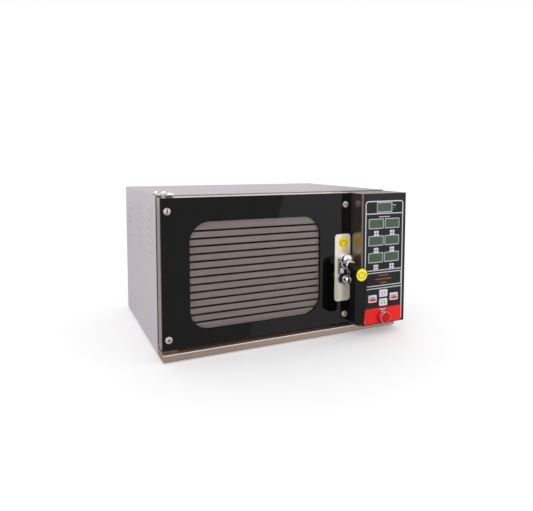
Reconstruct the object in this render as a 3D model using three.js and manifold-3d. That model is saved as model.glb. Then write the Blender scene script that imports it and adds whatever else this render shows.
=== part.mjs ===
// A bench-top convection oven: a painted casing round a steel cavity, a glass-fronted door
// hinged on the left with a lever latch on the right, and a control box that stands forward
// of the casing. Units are millimetres. While the pieces are made, x runs to the right,
// y to the back from the casing's front edge, and z up from the surface the oven stands on.
import * as THREE from 'three';
import { mergeVertices } from 'three/addons/utils/BufferGeometryUtils.js';
import Module from 'manifold-3d';

const wasm = await Module();
wasm.setup();

// ---------------------------------------------------------------- driving dimensions
const WIDTH = 510;
const CASING_DEPTH = 356;
const HEIGHT = 300;
const FOOT_HEIGHT = 3;
const SHEET = 1.2; // folded steel sheet
const GAP = 0.3; // between neighbours that rest on each other
const PAST = 1; // how far a cutting tool runs past the face it cuts
const ROUND = 20; // sides of a small round
const HALF = WIDTH / 2;

const CASING = { front: GAP, back: CASING_DEPTH, bottom: FOOT_HEIGHT, top: HEIGHT, bend: 2.5 };
const SILL = { front: -47, top: 15.5 };
const DOOR = { left: -HALF, right: 140.5, bottom: 22, top: 298, front: -36, back: -3 };
const GLASS = { front: -41, back: DOOR.front - GAP };
const WINDOW = { left: -203, right: 68, bottom: 51, top: 252.5, radius: 38 };
const GRILLE = { slots: 13, pitch: 14.2, firstSlot: 235.3, slotHeight: 3.7, back: -34.7 };
const INNER_GLASS = { margin: 9, front: -9, back: DOOR.back - SHEET - GAP };
const CAVITY = { left: -225, right: 100, bottom: 45, top: 270, front: 2.1, back: 310 };
const BAFFLE = { left: -200, right: 75, front: 275 };
const RACK = { level: 151.5, front: 24, back: 258, left: -219, right: 94, bar: 4, wire: 3 };
const GUIDE = { levels: [80, 115, 150, 185, 220], bottom: 62, top: 256, front: 20, back: 262, ledge: 10.5 };
const PARTITION_X = 138.5;
const REAR_PANEL = { front: 354, back: 355.5 };
const FAN = { x: (CAVITY.left + CAVITY.right) / 2, z: (CAVITY.bottom + CAVITY.top) / 2, radius: 72 };
const SHAFT = { radius: 4, clearance: 1.2 };
const HEATER = { y: 292, radius: 88, rod: 4, gapAngle: 0.35, back: 335 };
const PROBE = { x: 84, z: 255, radius: 2.5, front: 268, back: 326 };
const BOX = { left: 143, front: -80, bottom: 21.5, top: 298, strip: 4.2 };
const FASCIA = { left: 147.5, right: 254.7, bottom: 22, top: 297.5, thick: 1.4 };
const PANEL_X = 199.4; // middle of what the fascia carries
const DISPLAY = { width: 36, height: 18.5, z: 268.5, proud: 0.4, back: -70 };
const TIMER = { width: 34.6, height: 18.2, columns: [-20.2, 20.2], rows: [234.6, 199.1, 163.6] };
const TIMER_KEY = { width: 11.6, height: 10.2, below: 19.8, proud: 1 };
const PAD_KEY = { width: 20.6, height: 15.6, proud: 1.4, x: 27.4, z: 77.5, rise: 9.6 };
const POWER = {
  z: 37.2, ring: 13, collar: 11.4, neck: 11, bore: 10, ringFront: -92, step: -81.5, back: -58,
  cap: 10.8, capFront: -93.6, capBack: -86.5, stem: 8, stemBack: -66,
};
const HINGE = { x: -245, y: -24, pin: 4, clearance: 0.4 };
const HINGE_PLATE = { left: -254, right: -224, front: -35, back: 36, thick: 3 };
const PIN_HEAD = { radius: 7, top: 307 };
const LATCH = { x: 121.5, z: 161.5, shaft: 6, hole: 7.5 };
const LATCH_PLATE = { left: 103, right: 140.2, bottom: 70.2, top: 212.2, front: -43.3, radius: 7 };
const ESCUTCHEON = { z: 140, width: 28, height: 68, front: -48 };
const STUD = { z: 119.5, radius: 8.4, front: -72, dome: 4.5 };
const HUB = { radius: 12.8, front: -72, back: ESCUTCHEON.front - GAP, dome: 8, sides: 24 };
const GRIP = {
  front: -106, back: -80, waist: -91, waistZ: 112, boss: 14.5, bossX: 127.3, bossZ: 138, bottom: 36,
};
const CAM = { front: 4.2, back: 8.2, reach: 15, radius: 7.6 };
const STRIKE = { left: 131, front: CAVITY.front, thick: 1.8 };
const SCREW = { left: -243, right: 128, bottom: 41, top: 274, head: 6.5, shank: 3, front: -44.6 };
const LOUVRE = { rows: 7, pitch: 15.4, lowest: 177.6, columns: [54, 185, 311], length: 56, proud: 3 };
const COOLING = { x: 198, z: 215, side: 80, bore: 37, front: 327, back: 352, hub: 16 };
const INLET = { x: 205, z: 50, back: 358, front: 330, flangeWidth: 50, flangeHeight: 31 };
const FOOT = { radius: 14, x: 225, front: 30, back: 326 };
const ORIGIN_Y = (GRIP.front + INLET.back) / 2; // the finished model is centred front to back

// ---------------------------------------------------------------- finishes
const finish = (color, roughness, metalness) => () =>
  new THREE.MeshStandardMaterial({ color, roughness, metalness });
const casingPaint = finish(0xbfb9bd, 0.5, 0.2);
const brushedSteel = finish(0x9c938e, 0.35, 1);
const sillSteel = finish(0x90857d, 0.4, 1);
const paleSteel = finish(0xcfcac1, 0.3, 1);
const galvanised = finish(0x8f9499, 0.5, 0.9);
const chrome = finish(0xe6e6ea, 0.08, 1);
const blackGlass = finish(0x232222, 0.06, 0);
const clearGlass = finish(0xb9c4c4, 0.05, 0);
const blackPlastic = finish(0x272526, 0.5, 0);
const fasciaFilm = finish(0x1f1f20, 0.35, 0);
const displayFilm = finish(0x4d6450, 0.25, 0);
const whiteKey = finish(0xf0eff2, 0.4, 0);
const redCap = finish(0xc8140f, 0.2, 0);
const sealRubber = finish(0x2b2b2b, 0.8, 0);
const boardGreen = finish(0x1e5a38, 0.5, 0);
const aluminium = finish(0xb4b8bb, 0.4, 1);
const insulation = finish(0xd8d2bf, 0.95, 0);

// ---------------------------------------------------------------- solids and booleans
function toSolid(geometry) {
  const bare = geometry.index ? geometry.toNonIndexed() : geometry.clone();
  bare.deleteAttribute('normal');
  bare.deleteAttribute('uv');
  const welded = mergeVertices(bare, 1e-4);
  const vertProperties = new Float32Array(welded.attributes.position.array);
  const triVerts = new Uint32Array(welded.index.array);
  return new wasm.Manifold(new wasm.Mesh({ numProp: 3, vertProperties, triVerts }));
}

function toGeometry(solid) {
  const { vertProperties, triVerts } = solid.getMesh();
  const geometry = new THREE.BufferGeometry();
  geometry.setAttribute('position', new THREE.BufferAttribute(new Float32Array(vertProperties), 3));
  geometry.setIndex(new THREE.BufferAttribute(new Uint32Array(triVerts), 1));
  geometry.computeVertexNormals();
  return geometry;
}

const join = (...solids) => solids.reduce((whole, piece) => whole.add(piece));
const cut = (base, ...tools) => tools.reduce((whole, tool) => whole.subtract(tool), base);

// A box from its lowest to its highest corner.
function block(x0, x1, y0, y1, z0, z1) {
  const geometry = new THREE.BoxGeometry(x1 - x0, y1 - y0, z1 - z0);
  geometry.translate((x0 + x1) / 2, (y0 + y1) / 2, (z0 + z1) / 2);
  return toSolid(geometry);
}

// A round bar along y, between y0 and y1.
function roundY(x, z, radius, y0, y1, sides = ROUND) {
  const geometry = new THREE.CylinderGeometry(radius, radius, y1 - y0, sides);
  geometry.translate(x, (y0 + y1) / 2, z);
  return toSolid(geometry);
}

// A round bar along z, between z0 and z1.
function roundZ(x, y, radius, z0, z1, sides = ROUND) {
  const geometry = new THREE.CylinderGeometry(radius, radius, z1 - z0, sides);
  geometry.rotateX(Math.PI / 2);
  geometry.translate(x, y, (z0 + z1) / 2);
  return toSolid(geometry);
}

// An outline in x and z, carried along y from y0 to y1.
function platesY(outline, y0, y1, curveSegments = 6) {
  const options = { depth: y1 - y0, bevelEnabled: false, curveSegments };
  const geometry = new THREE.ExtrudeGeometry(outline, options);
  geometry.rotateX(Math.PI / 2);
  geometry.translate(0, y1, 0);
  return toSolid(geometry);
}

// An outline in y and z, carried along x from x0 to x1.
function platesX(outline, x0, x1) {
  const geometry = new THREE.ExtrudeGeometry(outline, { depth: x1 - x0, bevelEnabled: false });
  const alongY = new THREE.Vector3(0, 1, 0);
  const alongZ = new THREE.Vector3(0, 0, 1);
  const alongX = new THREE.Vector3(1, 0, 0);
  geometry.applyMatrix4(new THREE.Matrix4().makeBasis(alongY, alongZ, alongX));
  geometry.translate(x0, 0, 0);
  return toSolid(geometry);
}

function polygon(points) {
  return new THREE.Shape(points.map(([a, b]) => new THREE.Vector2(a, b)));
}

function roundedRect({ left, right, bottom, top, radius }) {
  const shape = new THREE.Shape();
  shape.moveTo(left + radius, bottom);
  shape.lineTo(right - radius, bottom);
  shape.absarc(right - radius, bottom + radius, radius, -Math.PI / 2, 0);
  shape.lineTo(right, top - radius);
  shape.absarc(right - radius, top - radius, radius, 0, Math.PI / 2);
  shape.lineTo(left + radius, top);
  shape.absarc(left + radius, top - radius, radius, Math.PI / 2, Math.PI);
  shape.lineTo(left, bottom + radius);
  shape.absarc(left + radius, bottom + radius, radius, Math.PI, 1.5 * Math.PI);
  return shape;
}

const grown = ({ left, right, bottom, top, radius }, by) => ({
  left: left - by,
  right: right + by,
  bottom: bottom - by,
  top: top + by,
  radius: radius + by,
});

const centred = (x, z, width, height, radius) => ({
  left: x - width / 2,
  right: x + width / 2,
  bottom: z - height / 2,
  top: z + height / 2,
  radius,
});

// A body turned about the y axis through (x, z), from pairs of radius and y in either order.
function turnedY(x, z, profile, sides = ROUND) {
  const points = profile.map(([radius, y]) => new THREE.Vector2(radius, y));
  if (THREE.ShapeUtils.area(points) < 0) points.reverse();
  const geometry = new THREE.LatheGeometry(points, sides);
  geometry.translate(x, 0, z);
  return toSolid(geometry);
}

function domeProfile(radius, base, height, steps = 4) {
  const arc = [];
  for (let step = 0; step <= steps; step += 1) {
    const angle = (step / steps) * (Math.PI / 2);
    const r = step === steps ? 0 : radius * Math.cos(angle);
    arc.push([r, base - height * Math.sin(angle)]);
  }
  return arc;
}

// ---------------------------------------------------------------- casing and frame
function louvre(side, y, z) {
  const wall = side * HALF;
  const out = (distance) => wall + side * distance;
  const hood = polygon([
    [out(-0.6), z], [out(LOUVRE.proud), z], [out(LOUVRE.proud), z + 1.2], [out(-0.6), z + 8],
  ]);
  const air = polygon([
    [out(-2), z], [out(0), z], [out(0), z - PAST], [out(2.1), z - PAST],
    [out(2.1), z + 0.8], [out(0), z + 4.8], [out(-2), z + 4.8],
  ]);
  const half = LOUVRE.length / 2;
  const end = 1.5;
  return {
    hood: platesY(hood, y - half, y + half),
    air: platesY(air, y - half + end, y + half - end),
  };
}

function outerCasing() {
  const { front, back, bottom, top, bend } = CASING;
  const wrap = (inset, foot) => roundedRect({
    left: -HALF + inset, right: HALF - inset, bottom: foot, top: top - inset, radius: bend - inset / 2,
  });
  const belowFloor = bottom - 4 * bend;
  let shell = platesY(wrap(0, belowFloor), front, back, 3);
  shell = cut(shell, platesY(wrap(SHEET, belowFloor - PAST), front - PAST, back + PAST, 3));
  shell = cut(shell, block(-HALF - PAST, HALF + PAST, front - PAST, back + PAST, belowFloor - 9, bottom));
  for (const side of [-1, 1]) {
    for (const y of LOUVRE.columns) {
      for (let row = 0; row < LOUVRE.rows; row += 1) {
        const { hood, air } = louvre(side, y, LOUVRE.lowest + row * LOUVRE.pitch);
        shell = cut(join(shell, hood), air);
      }
    }
  }
  return shell;
}

function basePan() {
  const inner = HALF - SHEET - GAP;
  const floor = 1.5;
  const wallTop = 16;
  const tray = block(-inner, inner, CAVITY.front, REAR_PANEL.front - GAP, FOOT_HEIGHT, wallTop);
  const hollow = block(
    -inner + floor, inner - floor, CAVITY.front - PAST, REAR_PANEL.front + PAST,
    FOOT_HEIGHT + floor, wallTop + PAST,
  );
  return cut(tray, hollow);
}

function frontSill() {
  const channel = block(-HALF, HALF, SILL.front, 0, FOOT_HEIGHT, SILL.top);
  const hollow = block(
    -HALF + SHEET, HALF - SHEET, SILL.front + SHEET, PAST, FOOT_HEIGHT + SHEET, SILL.top - SHEET,
  );
  return cut(channel, hollow);
}

function rearPanel() {
  const { front, back } = REAR_PANEL;
  const inner = HALF - SHEET - GAP;
  const outline = { left: -inner, right: inner, bottom: 5, top: HEIGHT - SHEET - GAP, radius: CASING.bend };
  let panel = platesY(roundedRect(outline), front, back, 2);
  const slot = (x0, x1, z0, z1) => block(x0, x1, front - PAST, back + PAST, z0, z1);
  const fanSlots = 7;
  for (let i = 0; i < fanSlots; i += 1) {
    const z = COOLING.z + (i - (fanSlots - 1) / 2) * 10;
    panel = cut(panel, slot(COOLING.x - 33, COOLING.x + 33, z - 2.5, z + 2.5));
  }
  for (let i = 0; i < 6; i += 1) {
    const z = FAN.z + (i - 2.5) * 16;
    panel = cut(panel, slot(FAN.x - 60, FAN.x - 5, z - 2.5, z + 2.5));
    panel = cut(panel, slot(FAN.x + 5, FAN.x + 60, z - 2.5, z + 2.5));
  }
  return cut(panel, slot(INLET.x - 14.2, INLET.x + 14.2, INLET.z - 10.4, INLET.z + 10.4));
}

function frontFrame() {
  const back = CAVITY.front - GAP;
  const outline = {
    left: -HALF + SHEET + GAP, right: BOX.left - GAP,
    bottom: 17, top: HEIGHT - SHEET - GAP, radius: CASING.bend,
  };
  const plate = platesY(roundedRect(outline), CASING.front, back, 2);
  const mouth = block(
    CAVITY.left + SHEET, CAVITY.right - SHEET, -PAST, back + PAST, CAVITY.bottom + SHEET, CAVITY.top - SHEET,
  );
  const camSlot = block(LATCH.x - 10.5, PARTITION_X - 0.6, -PAST, back + PAST, LATCH.z - 21.5, LATCH.z + 11);
  return cut(plate, mouth, camSlot);
}

function cavityLiner() {
  const { left, right, front, back, bottom, top } = CAVITY;
  const shell = block(left, right, front, back, bottom, top);
  const hollow = block(left + SHEET, right - SHEET, front - PAST, back - SHEET, bottom + SHEET, top - SHEET);
  const backHole = (x, z, radius) => roundY(x, z, radius, back - SHEET - PAST, back + PAST, 16);
  const legs = heaterLegs().map(([x, z]) => backHole(x, z, HEATER.rod + 1.5));
  const fanHole = backHole(FAN.x, FAN.z, 9);
  const probeHole = backHole(PROBE.x, PROBE.z, PROBE.radius + 1);
  return cut(shell, hollow, fanHole, probeHole, ...legs);
}

function insulationWrap() {
  const thick = 14.5;
  const { left, right, bottom, top, back } = CAVITY;
  const outer = block(left - GAP - thick, right + GAP + thick, 12, back, bottom, top + GAP + thick);
  const inner = block(left - GAP, right + GAP, 12 - PAST, back + PAST, bottom - PAST, top + GAP);
  return cut(outer, inner);
}

function partitionWall() {
  const wall = block(PARTITION_X, PARTITION_X + SHEET, CAVITY.front, 352, 5, HEIGHT - SHEET - 2 * GAP);
  return cut(wall, block(PARTITION_X - PAST, PARTITION_X + SHEET + PAST, 300, 330, 30, 60));
}

// ---------------------------------------------------------------- control box
function controlHousing() {
  const { left, front, bottom, top, strip } = BOX;
  const faceBack = front + FASCIA.thick + GAP;
  const shell = block(left, HALF, faceBack, 0, bottom, top);
  const hollow = block(left + SHEET, HALF - SHEET, faceBack + SHEET, PAST, bottom + SHEET, top - SHEET);
  const rim = 4;
  const opening = block(left + 2 * rim, HALF - rim, front, faceBack + 2, bottom + rim, top - rim);
  return join(cut(shell, hollow, opening), block(left, left + strip, front, faceBack + SHEET, bottom, top));
}

const timerPlaces = () => TIMER.rows.flatMap((z) => TIMER.columns.map((x) => [PANEL_X + x, z]));

const padPlaces = () => [
  ['key_left', PANEL_X - PAD_KEY.x, PAD_KEY.z],
  ['key_right', PANEL_X + PAD_KEY.x, PAD_KEY.z],
  ['key_up', PANEL_X, PAD_KEY.z + PAD_KEY.rise],
  ['key_down', PANEL_X, PAD_KEY.z - PAD_KEY.rise],
];

function panelBlock(x, z, width, height, front, back) {
  return block(x - width / 2, x + width / 2, front, back, z - height / 2, z + height / 2);
}

function controlFascia() {
  const { left, right, bottom, top, thick } = FASCIA;
  const back = BOX.front + thick;
  const hole = (x, z, width, height) =>
    panelBlock(x, z, width + 2 * GAP, height + 2 * GAP, BOX.front - PAST, back + PAST);
  return cut(
    block(left, right, BOX.front, back, bottom, top),
    hole(PANEL_X, DISPLAY.z, DISPLAY.width, DISPLAY.height),
    ...timerPlaces().map(([x, z]) => hole(x, z, TIMER.width, TIMER.height)),
    ...timerPlaces().map(([x, z]) => hole(x, z - TIMER_KEY.below, TIMER_KEY.width, TIMER_KEY.height)),
    ...padPlaces().map(([, x, z]) => hole(x, z, PAD_KEY.width, PAD_KEY.height)),
    roundY(PANEL_X, POWER.z, POWER.neck + GAP, BOX.front - PAST, back + PAST),
  );
}

function mainDisplay() {
  const { z, width, height, proud, back } = DISPLAY;
  return panelBlock(PANEL_X, z, width, height, BOX.front - proud, back);
}

function timerDisplays() {
  const carrier = { front: -73.6, back: -72.2 };
  const spanX = TIMER.columns[1] + TIMER.width / 2 + 2;
  const spanZ = TIMER.height / 2 + 2;
  const [highest, , lowest] = TIMER.rows;
  return join(
    block(PANEL_X - spanX, PANEL_X + spanX, carrier.front, carrier.back, lowest - spanZ, highest + spanZ),
    ...timerPlaces().map(([x, z]) =>
      panelBlock(x, z, TIMER.width, TIMER.height, BOX.front - DISPLAY.proud, carrier.back)),
  );
}

function controlBoard() {
  const front = -69.4;
  const back = -67.8;
  return join(
    block(151, 248, front, back, 60, 286),
    block(158, 186, back - 0.4, back + 7, 190, 218),
    block(205, 235, back - 0.4, back + 20, 90, 130),
    block(160, 190, back - 0.4, back + 14, 100, 125),
    block(206, 226, back - 0.4, back + 4, 240, 260),
  );
}

const timerKey = (x, z) =>
  panelBlock(x, z, TIMER_KEY.width, TIMER_KEY.height, BOX.front - TIMER_KEY.proud, -75.6);

const padKey = (x, z) =>
  panelBlock(x, z, PAD_KEY.width, PAD_KEY.height, BOX.front - PAD_KEY.proud, -75.6);

function powerButtonBezel() {
  const { ring, collar, neck, bore, ringFront, step, back, z } = POWER;
  const seat = BOX.front - GAP;
  return turnedY(PANEL_X, z, [
    [bore, back], [neck, back], [neck, seat], [ring, seat], [ring, ringFront + 1.2],
    [ring - 0.8, ringFront], [collar, ringFront], [collar, step], [bore, step], [bore, back],
  ], 20);
}

function powerButton() {
  const { cap, capFront, capBack, stem, stemBack, z } = POWER;
  return turnedY(PANEL_X, z, [
    [0, stemBack], [stem, stemBack], [stem, capBack], [cap, capBack], [cap, capFront + 1.5],
    [cap - 1.5, capFront], [0, capFront],
  ], 24);
}

// ---------------------------------------------------------------- cavity fittings
function rackGuide(side) {
  const wall = side < 0 ? CAVITY.left + SHEET + GAP : CAVITY.right - SHEET - GAP;
  const between = (a, b) => [Math.min(a, b), Math.max(a, b)];
  const span = (from, to) => between(wall - side * from, wall - side * to);
  const plate = block(...span(0, 1), GUIDE.front, GUIDE.back, GUIDE.bottom, GUIDE.top);
  const ledges = GUIDE.levels.map((z) =>
    block(...span(0.5, GUIDE.ledge), GUIDE.front, GUIDE.back, z, z + SHEET));
  const windows = GUIDE.levels.map((z) =>
    block(...span(-PAST, 1 + PAST), GUIDE.front + 15, GUIDE.back - 15, z + 6, z + 28));
  return cut(join(plate, ...ledges), ...windows);
}

function wireRack() {
  const { level, front, back, left, right, bar, wire } = RACK;
  const top = level + bar;
  const rails = [
    block(left, left + bar, front, back, level, top),
    block(right - bar, right, front, back, level, top),
    block(left, right, front, front + bar, level, top),
    block(left, right, back - bar, back, level, top),
    block(left + 1, right - 1, 139, 142, level + 0.5, top - 0.5),
  ];
  const wires = [];
  const count = 15;
  const step = (right - left - bar) / (count + 1);
  for (let i = 1; i <= count; i += 1) {
    const x = left + bar / 2 + i * step;
    wires.push(block(x - wire / 2, x + wire / 2, front + 1, back - 1, top - wire, top - 0.2));
  }
  return join(...rails, ...wires);
}

function fanBaffle() {
  const { left, right, front } = BAFFLE;
  const bottom = CAVITY.bottom + SHEET + GAP;
  const top = CAVITY.top - SHEET - GAP;
  let plate = block(left, right, front, front + SHEET, bottom, top);
  const inlet = 56;
  const rows = 7;
  for (let i = 0; i < rows; i += 1) {
    const rise = (i - (rows - 1) / 2) * 14;
    const half = Math.sqrt(inlet * inlet - rise * rise);
    const z = FAN.z + rise;
    plate = cut(plate, block(FAN.x - half, FAN.x + half, front - PAST, front + SHEET + PAST, z - 4, z + 4));
  }
  return plate;
}

const heaterLegs = () => [-1, 1].map((side) => [
  FAN.x + side * HEATER.radius * Math.sin(HEATER.gapAngle / 2),
  FAN.z - HEATER.radius * Math.cos(HEATER.gapAngle / 2),
]);

function heatingElement() {
  const { y, radius, rod, gapAngle, back } = HEATER;
  const [rightLeg, leftLeg] = [heaterLegs()[1], heaterLegs()[0]];
  const points = [];
  for (const legY of [back, 322, 308, 299]) {
    points.push(new THREE.Vector3(rightLeg[0], legY, rightLeg[1]));
  }
  const steps = 30;
  const sweep = 2 * Math.PI - gapAngle;
  for (let i = 1; i < steps; i += 1) {
    const angle = -Math.PI / 2 + gapAngle / 2 + (i / steps) * sweep;
    points.push(new THREE.Vector3(FAN.x + radius * Math.cos(angle), y, FAN.z + radius * Math.sin(angle)));
  }
  for (const legY of [299, 308, 322, back]) {
    points.push(new THREE.Vector3(leftLeg[0], legY, leftLeg[1]));
  }
  const section = new THREE.Shape();
  const sides = 8;
  for (let i = 0; i < sides; i += 1) {
    const angle = (i / sides) * 2 * Math.PI;
    const [a, b] = [rod * Math.cos(angle), rod * Math.sin(angle)];
    if (i === 0) section.moveTo(a, b);
    else section.lineTo(a, b);
  }
  const extrudePath = new THREE.CatmullRomCurve3(points);
  return toSolid(new THREE.ExtrudeGeometry(section, { steps: 46, bevelEnabled: false, extrudePath }));
}

function temperatureProbe() {
  const { x, z, radius, front, back } = PROBE;
  return join(
    roundY(x, z, radius, front, back, 12),
    roundY(x, z, 6, CAVITY.back + GAP, CAVITY.back + 7, 6),
  );
}

function fanWheel() {
  const { x, z, radius } = FAN;
  const plateFront = 300;
  const bladeFront = 283;
  const inner = 42;
  const pieces = [
    roundY(x, z, radius, plateFront, plateFront + SHEET, 28),
    roundY(x, z, 11, bladeFront + 3, plateFront + 0.5, 16),
    roundY(x, z, SHAFT.radius, plateFront, 336, 16),
    cut(
      roundY(x, z, radius, bladeFront, bladeFront + SHEET, 28),
      roundY(x, z, radius - 14, bladeFront - PAST, bladeFront + SHEET + PAST, 28),
    ),
  ];
  const blades = 12;
  for (let i = 0; i < blades; i += 1) {
    const geometry = new THREE.BoxGeometry(radius - inner - 1, plateFront - bladeFront + 0.6, 1.5);
    geometry.rotateY(0.5);
    geometry.translate((radius + inner) / 2 - 1, (plateFront + bladeFront) / 2 + 0.5, 0);
    geometry.rotateY((i / blades) * 2 * Math.PI);
    geometry.translate(x, 0, z);
    pieces.push(toSolid(geometry));
  }
  return join(...pieces);
}

function fanMotor() {
  const { x, z } = FAN;
  const flangeFront = CAVITY.back + 1;
  const body = join(
    block(x - 48, x + 48, flangeFront, flangeFront + 2, z - 48, z + 48),
    roundY(x, z, 36, flangeFront + 1, 345, 28),
    roundY(x, z, 12, 344, 350, 16),
  );
  return cut(body, roundY(x, z, SHAFT.radius + SHAFT.clearance, flangeFront - PAST, 340, 16));
}

// ---------------------------------------------------------------- electrical pieces
function relayHeatsink() {
  const bottom = FOOT_HEIGHT + 1.5 + GAP;
  const base = block(196, 202, 150, 215, bottom, bottom + 60);
  const relay = block(174, 196.5, 158, 205, bottom + 6, bottom + 50);
  const fins = [];
  for (let i = 0; i < 7; i += 1) {
    const y = 150 + i * 10.5;
    fins.push(block(201.5, 228, y, y + 2, bottom, bottom + 60));
  }
  return join(base, relay, ...fins);
}

function mainsInlet() {
  const { x, z, back, front, flangeWidth, flangeHeight } = INLET;
  const body = join(
    panelBlock(x, z, flangeWidth, flangeHeight, REAR_PANEL.back + GAP, back),
    panelBlock(x, z, 27.6, 20, front, back - PAST),
  );
  const socket = panelBlock(x, z, 24, 16, back - 16, back + PAST);
  const blade = (dx, dz) => panelBlock(x + dx, z + dz, 2, 5, back - 17, back - 3);
  return join(cut(body, socket), blade(-7, -1), blade(0, 2), blade(7, -1));
}

function coolingFanFrame() {
  const { x, z, side, bore, front, back, hub } = COOLING;
  const box = platesY(roundedRect(centred(x, z, side, side, 5)), front, back, 2);
  const ring = cut(box, roundY(x, z, bore, front - PAST, back + PAST, 36));
  const spiderBack = front + 4;
  const arm = block(x - bore - 1, x + bore + 1, front, spiderBack, z - 2, z + 2);
  const upright = block(x - 2, x + 2, front, spiderBack, z - bore - 1, z + bore + 1);
  return join(ring, arm, upright, roundY(x, z, hub, front, spiderBack, 20));
}

function coolingFanRotor() {
  const { x, z, bore, front, back, hub } = COOLING;
  const y0 = front + 5.5;
  const y1 = back - 2;
  const pieces = [roundY(x, z, hub - 1, y0, y1, 20)];
  const blades = 7;
  const length = bore - hub;
  for (let i = 0; i < blades; i += 1) {
    const geometry = new THREE.BoxGeometry(length, 12, 1.6);
    geometry.rotateX(0.75);
    geometry.translate(hub - 2 + length / 2, (y0 + y1) / 2, 0);
    geometry.rotateY((i / blades) * 2 * Math.PI);
    geometry.translate(x, 0, z);
    pieces.push(toSolid(geometry));
  }
  return join(...pieces);
}

// ---------------------------------------------------------------- hinges, latch strike, feet
function hingeBracketTop() {
  const { left, right, front, back, thick } = HINGE_PLATE;
  const bottom = HEIGHT + GAP;
  const top = bottom + thick;
  const corner = 6;
  const outline = polygon([
    [left, front + corner], [left + corner, front], [right - corner, front], [right, front + corner],
    [right, back], [left, back],
  ]);
  const geometry = new THREE.ExtrudeGeometry(outline, { depth: thick, bevelEnabled: false });
  geometry.translate(0, 0, bottom);
  const bolts = [left + 7.5, right - 7.5].map((x) => roundZ(x, back - 10, 5.2, top - 0.5, top + 3, 6));
  const plate = join(toSolid(geometry), ...bolts);
  return cut(plate, roundZ(HINGE.x, HINGE.y, HINGE.pin + HINGE.clearance, bottom - PAST, top + PAST));
}

function hingePinTop() {
  const seat = HEIGHT + HINGE_PLATE.thick + 2 * GAP;
  return join(
    roundZ(HINGE.x, HINGE.y, PIN_HEAD.radius, seat, PIN_HEAD.top),
    roundZ(HINGE.x, HINGE.y, HINGE.pin, 284, seat + 0.5),
  );
}

function hingeBracketBottom() {
  const bottom = SILL.top + GAP;
  const plate = block(HINGE_PLATE.left, HINGE_PLATE.right, HINGE_PLATE.front, -0.5, bottom, bottom + 3);
  return join(plate, roundZ(HINGE.x, HINGE.y, HINGE.pin, bottom + 2, 33));
}

function latchStrike() {
  const { left, front, thick } = STRIKE;
  const right = PARTITION_X - GAP;
  return join(
    block(left, right, front, front + thick, LATCH.z - 24, LATCH.z + 18),
    block(right - 1.5, right, front, front + 14, LATCH.z + 10, LATCH.z + 18),
  );
}

function foot(x, y) {
  return roundZ(x, y, FOOT.radius, 0, FOOT_HEIGHT - GAP, 20);
}

// ---------------------------------------------------------------- door
const screwPlaces = () => [
  ['door_screw_1', SCREW.left, SCREW.top, 1.35],
  ['door_screw_2', SCREW.right, SCREW.top, -0.35],
  ['door_screw_3', SCREW.left, SCREW.bottom, 0.7],
  ['door_screw_4', SCREW.right, SCREW.bottom, -0.9],
];

function doorShell() {
  const { left, right, bottom, top, front, back } = DOOR;
  const tray = cut(
    block(left, right, front, back, bottom, top),
    block(left + SHEET, right - SHEET, front - PAST, back - SHEET, bottom + SHEET, top - SHEET),
  );
  const collarMargin = INNER_GLASS.margin + 0.5;
  const collar = cut(
    platesY(roundedRect(grown(WINDOW, collarMargin + SHEET)), GRILLE.back + GAP, back - 0.5),
    platesY(roundedRect(grown(WINDOW, collarMargin)), front, back + PAST),
  );
  const posts = screwPlaces().map(([, x, z]) => roundY(x, z, 6, front, back - 0.5, 16));
  const bores = screwPlaces().map(([, x, z]) => roundY(x, z, SCREW.shank + 0.4, front - PAST, -18, 16));
  const pinHole = (z0, z1) => roundZ(HINGE.x, HINGE.y, HINGE.pin + HINGE.clearance, z0, z1);
  return cut(
    join(tray, collar, ...posts),
    platesY(roundedRect(WINDOW), back - 2 * SHEET, back + PAST),
    roundY(LATCH.x, LATCH.z, LATCH.hole, back - 2 * SHEET, back + PAST),
    pinHole(bottom - PAST, bottom + 2 * SHEET),
    pinHole(top - 2 * SHEET, top + PAST),
    ...bores,
  );
}

function doorGlassOuter() {
  const { left, right, bottom, top } = DOOR;
  const pane = block(left + GAP, right - GAP, GLASS.front, GLASS.back, bottom + GAP, top - GAP);
  const hole = (x, z, radius) => roundY(x, z, radius, GLASS.front - PAST, GLASS.back + PAST, 16);
  return cut(
    pane,
    hole(LATCH.x, LATCH.z, LATCH.hole),
    ...screwPlaces().map(([, x, z]) => hole(x, z, SCREW.shank + 1)),
  );
}

function windowGrille() {
  const { slots, pitch, firstSlot, slotHeight, back } = GRILLE;
  const front = back - SHEET;
  const reach = 4;
  const field = platesY(roundedRect(grown(WINDOW, reach)), front - PAST, back + PAST);
  let plate = platesY(roundedRect(grown(WINDOW, INNER_GLASS.margin)), front, back);
  for (let i = 0; i < slots; i += 1) {
    const z = firstSlot - i * pitch;
    const bar = block(
      WINDOW.left - reach, WINDOW.right + reach, front - PAST, back + PAST,
      z - slotHeight / 2, z + slotHeight / 2,
    );
    plate = cut(plate, bar.intersect(field));
  }
  return plate;
}

function doorGlassInner() {
  return platesY(roundedRect(grown(WINDOW, INNER_GLASS.margin)), INNER_GLASS.front, INNER_GLASS.back);
}

function doorSeal() {
  const width = 8;
  const mouth = {
    left: CAVITY.left - 1.5, right: CAVITY.right + 1.5,
    bottom: CAVITY.bottom - 1.5, top: CAVITY.top + 1.5, radius: 4,
  };
  return cut(
    platesY(roundedRect(grown(mouth, width)), DOOR.back + GAP, 0, 3),
    platesY(roundedRect(mouth), DOOR.back - PAST, PAST, 3),
  );
}

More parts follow.
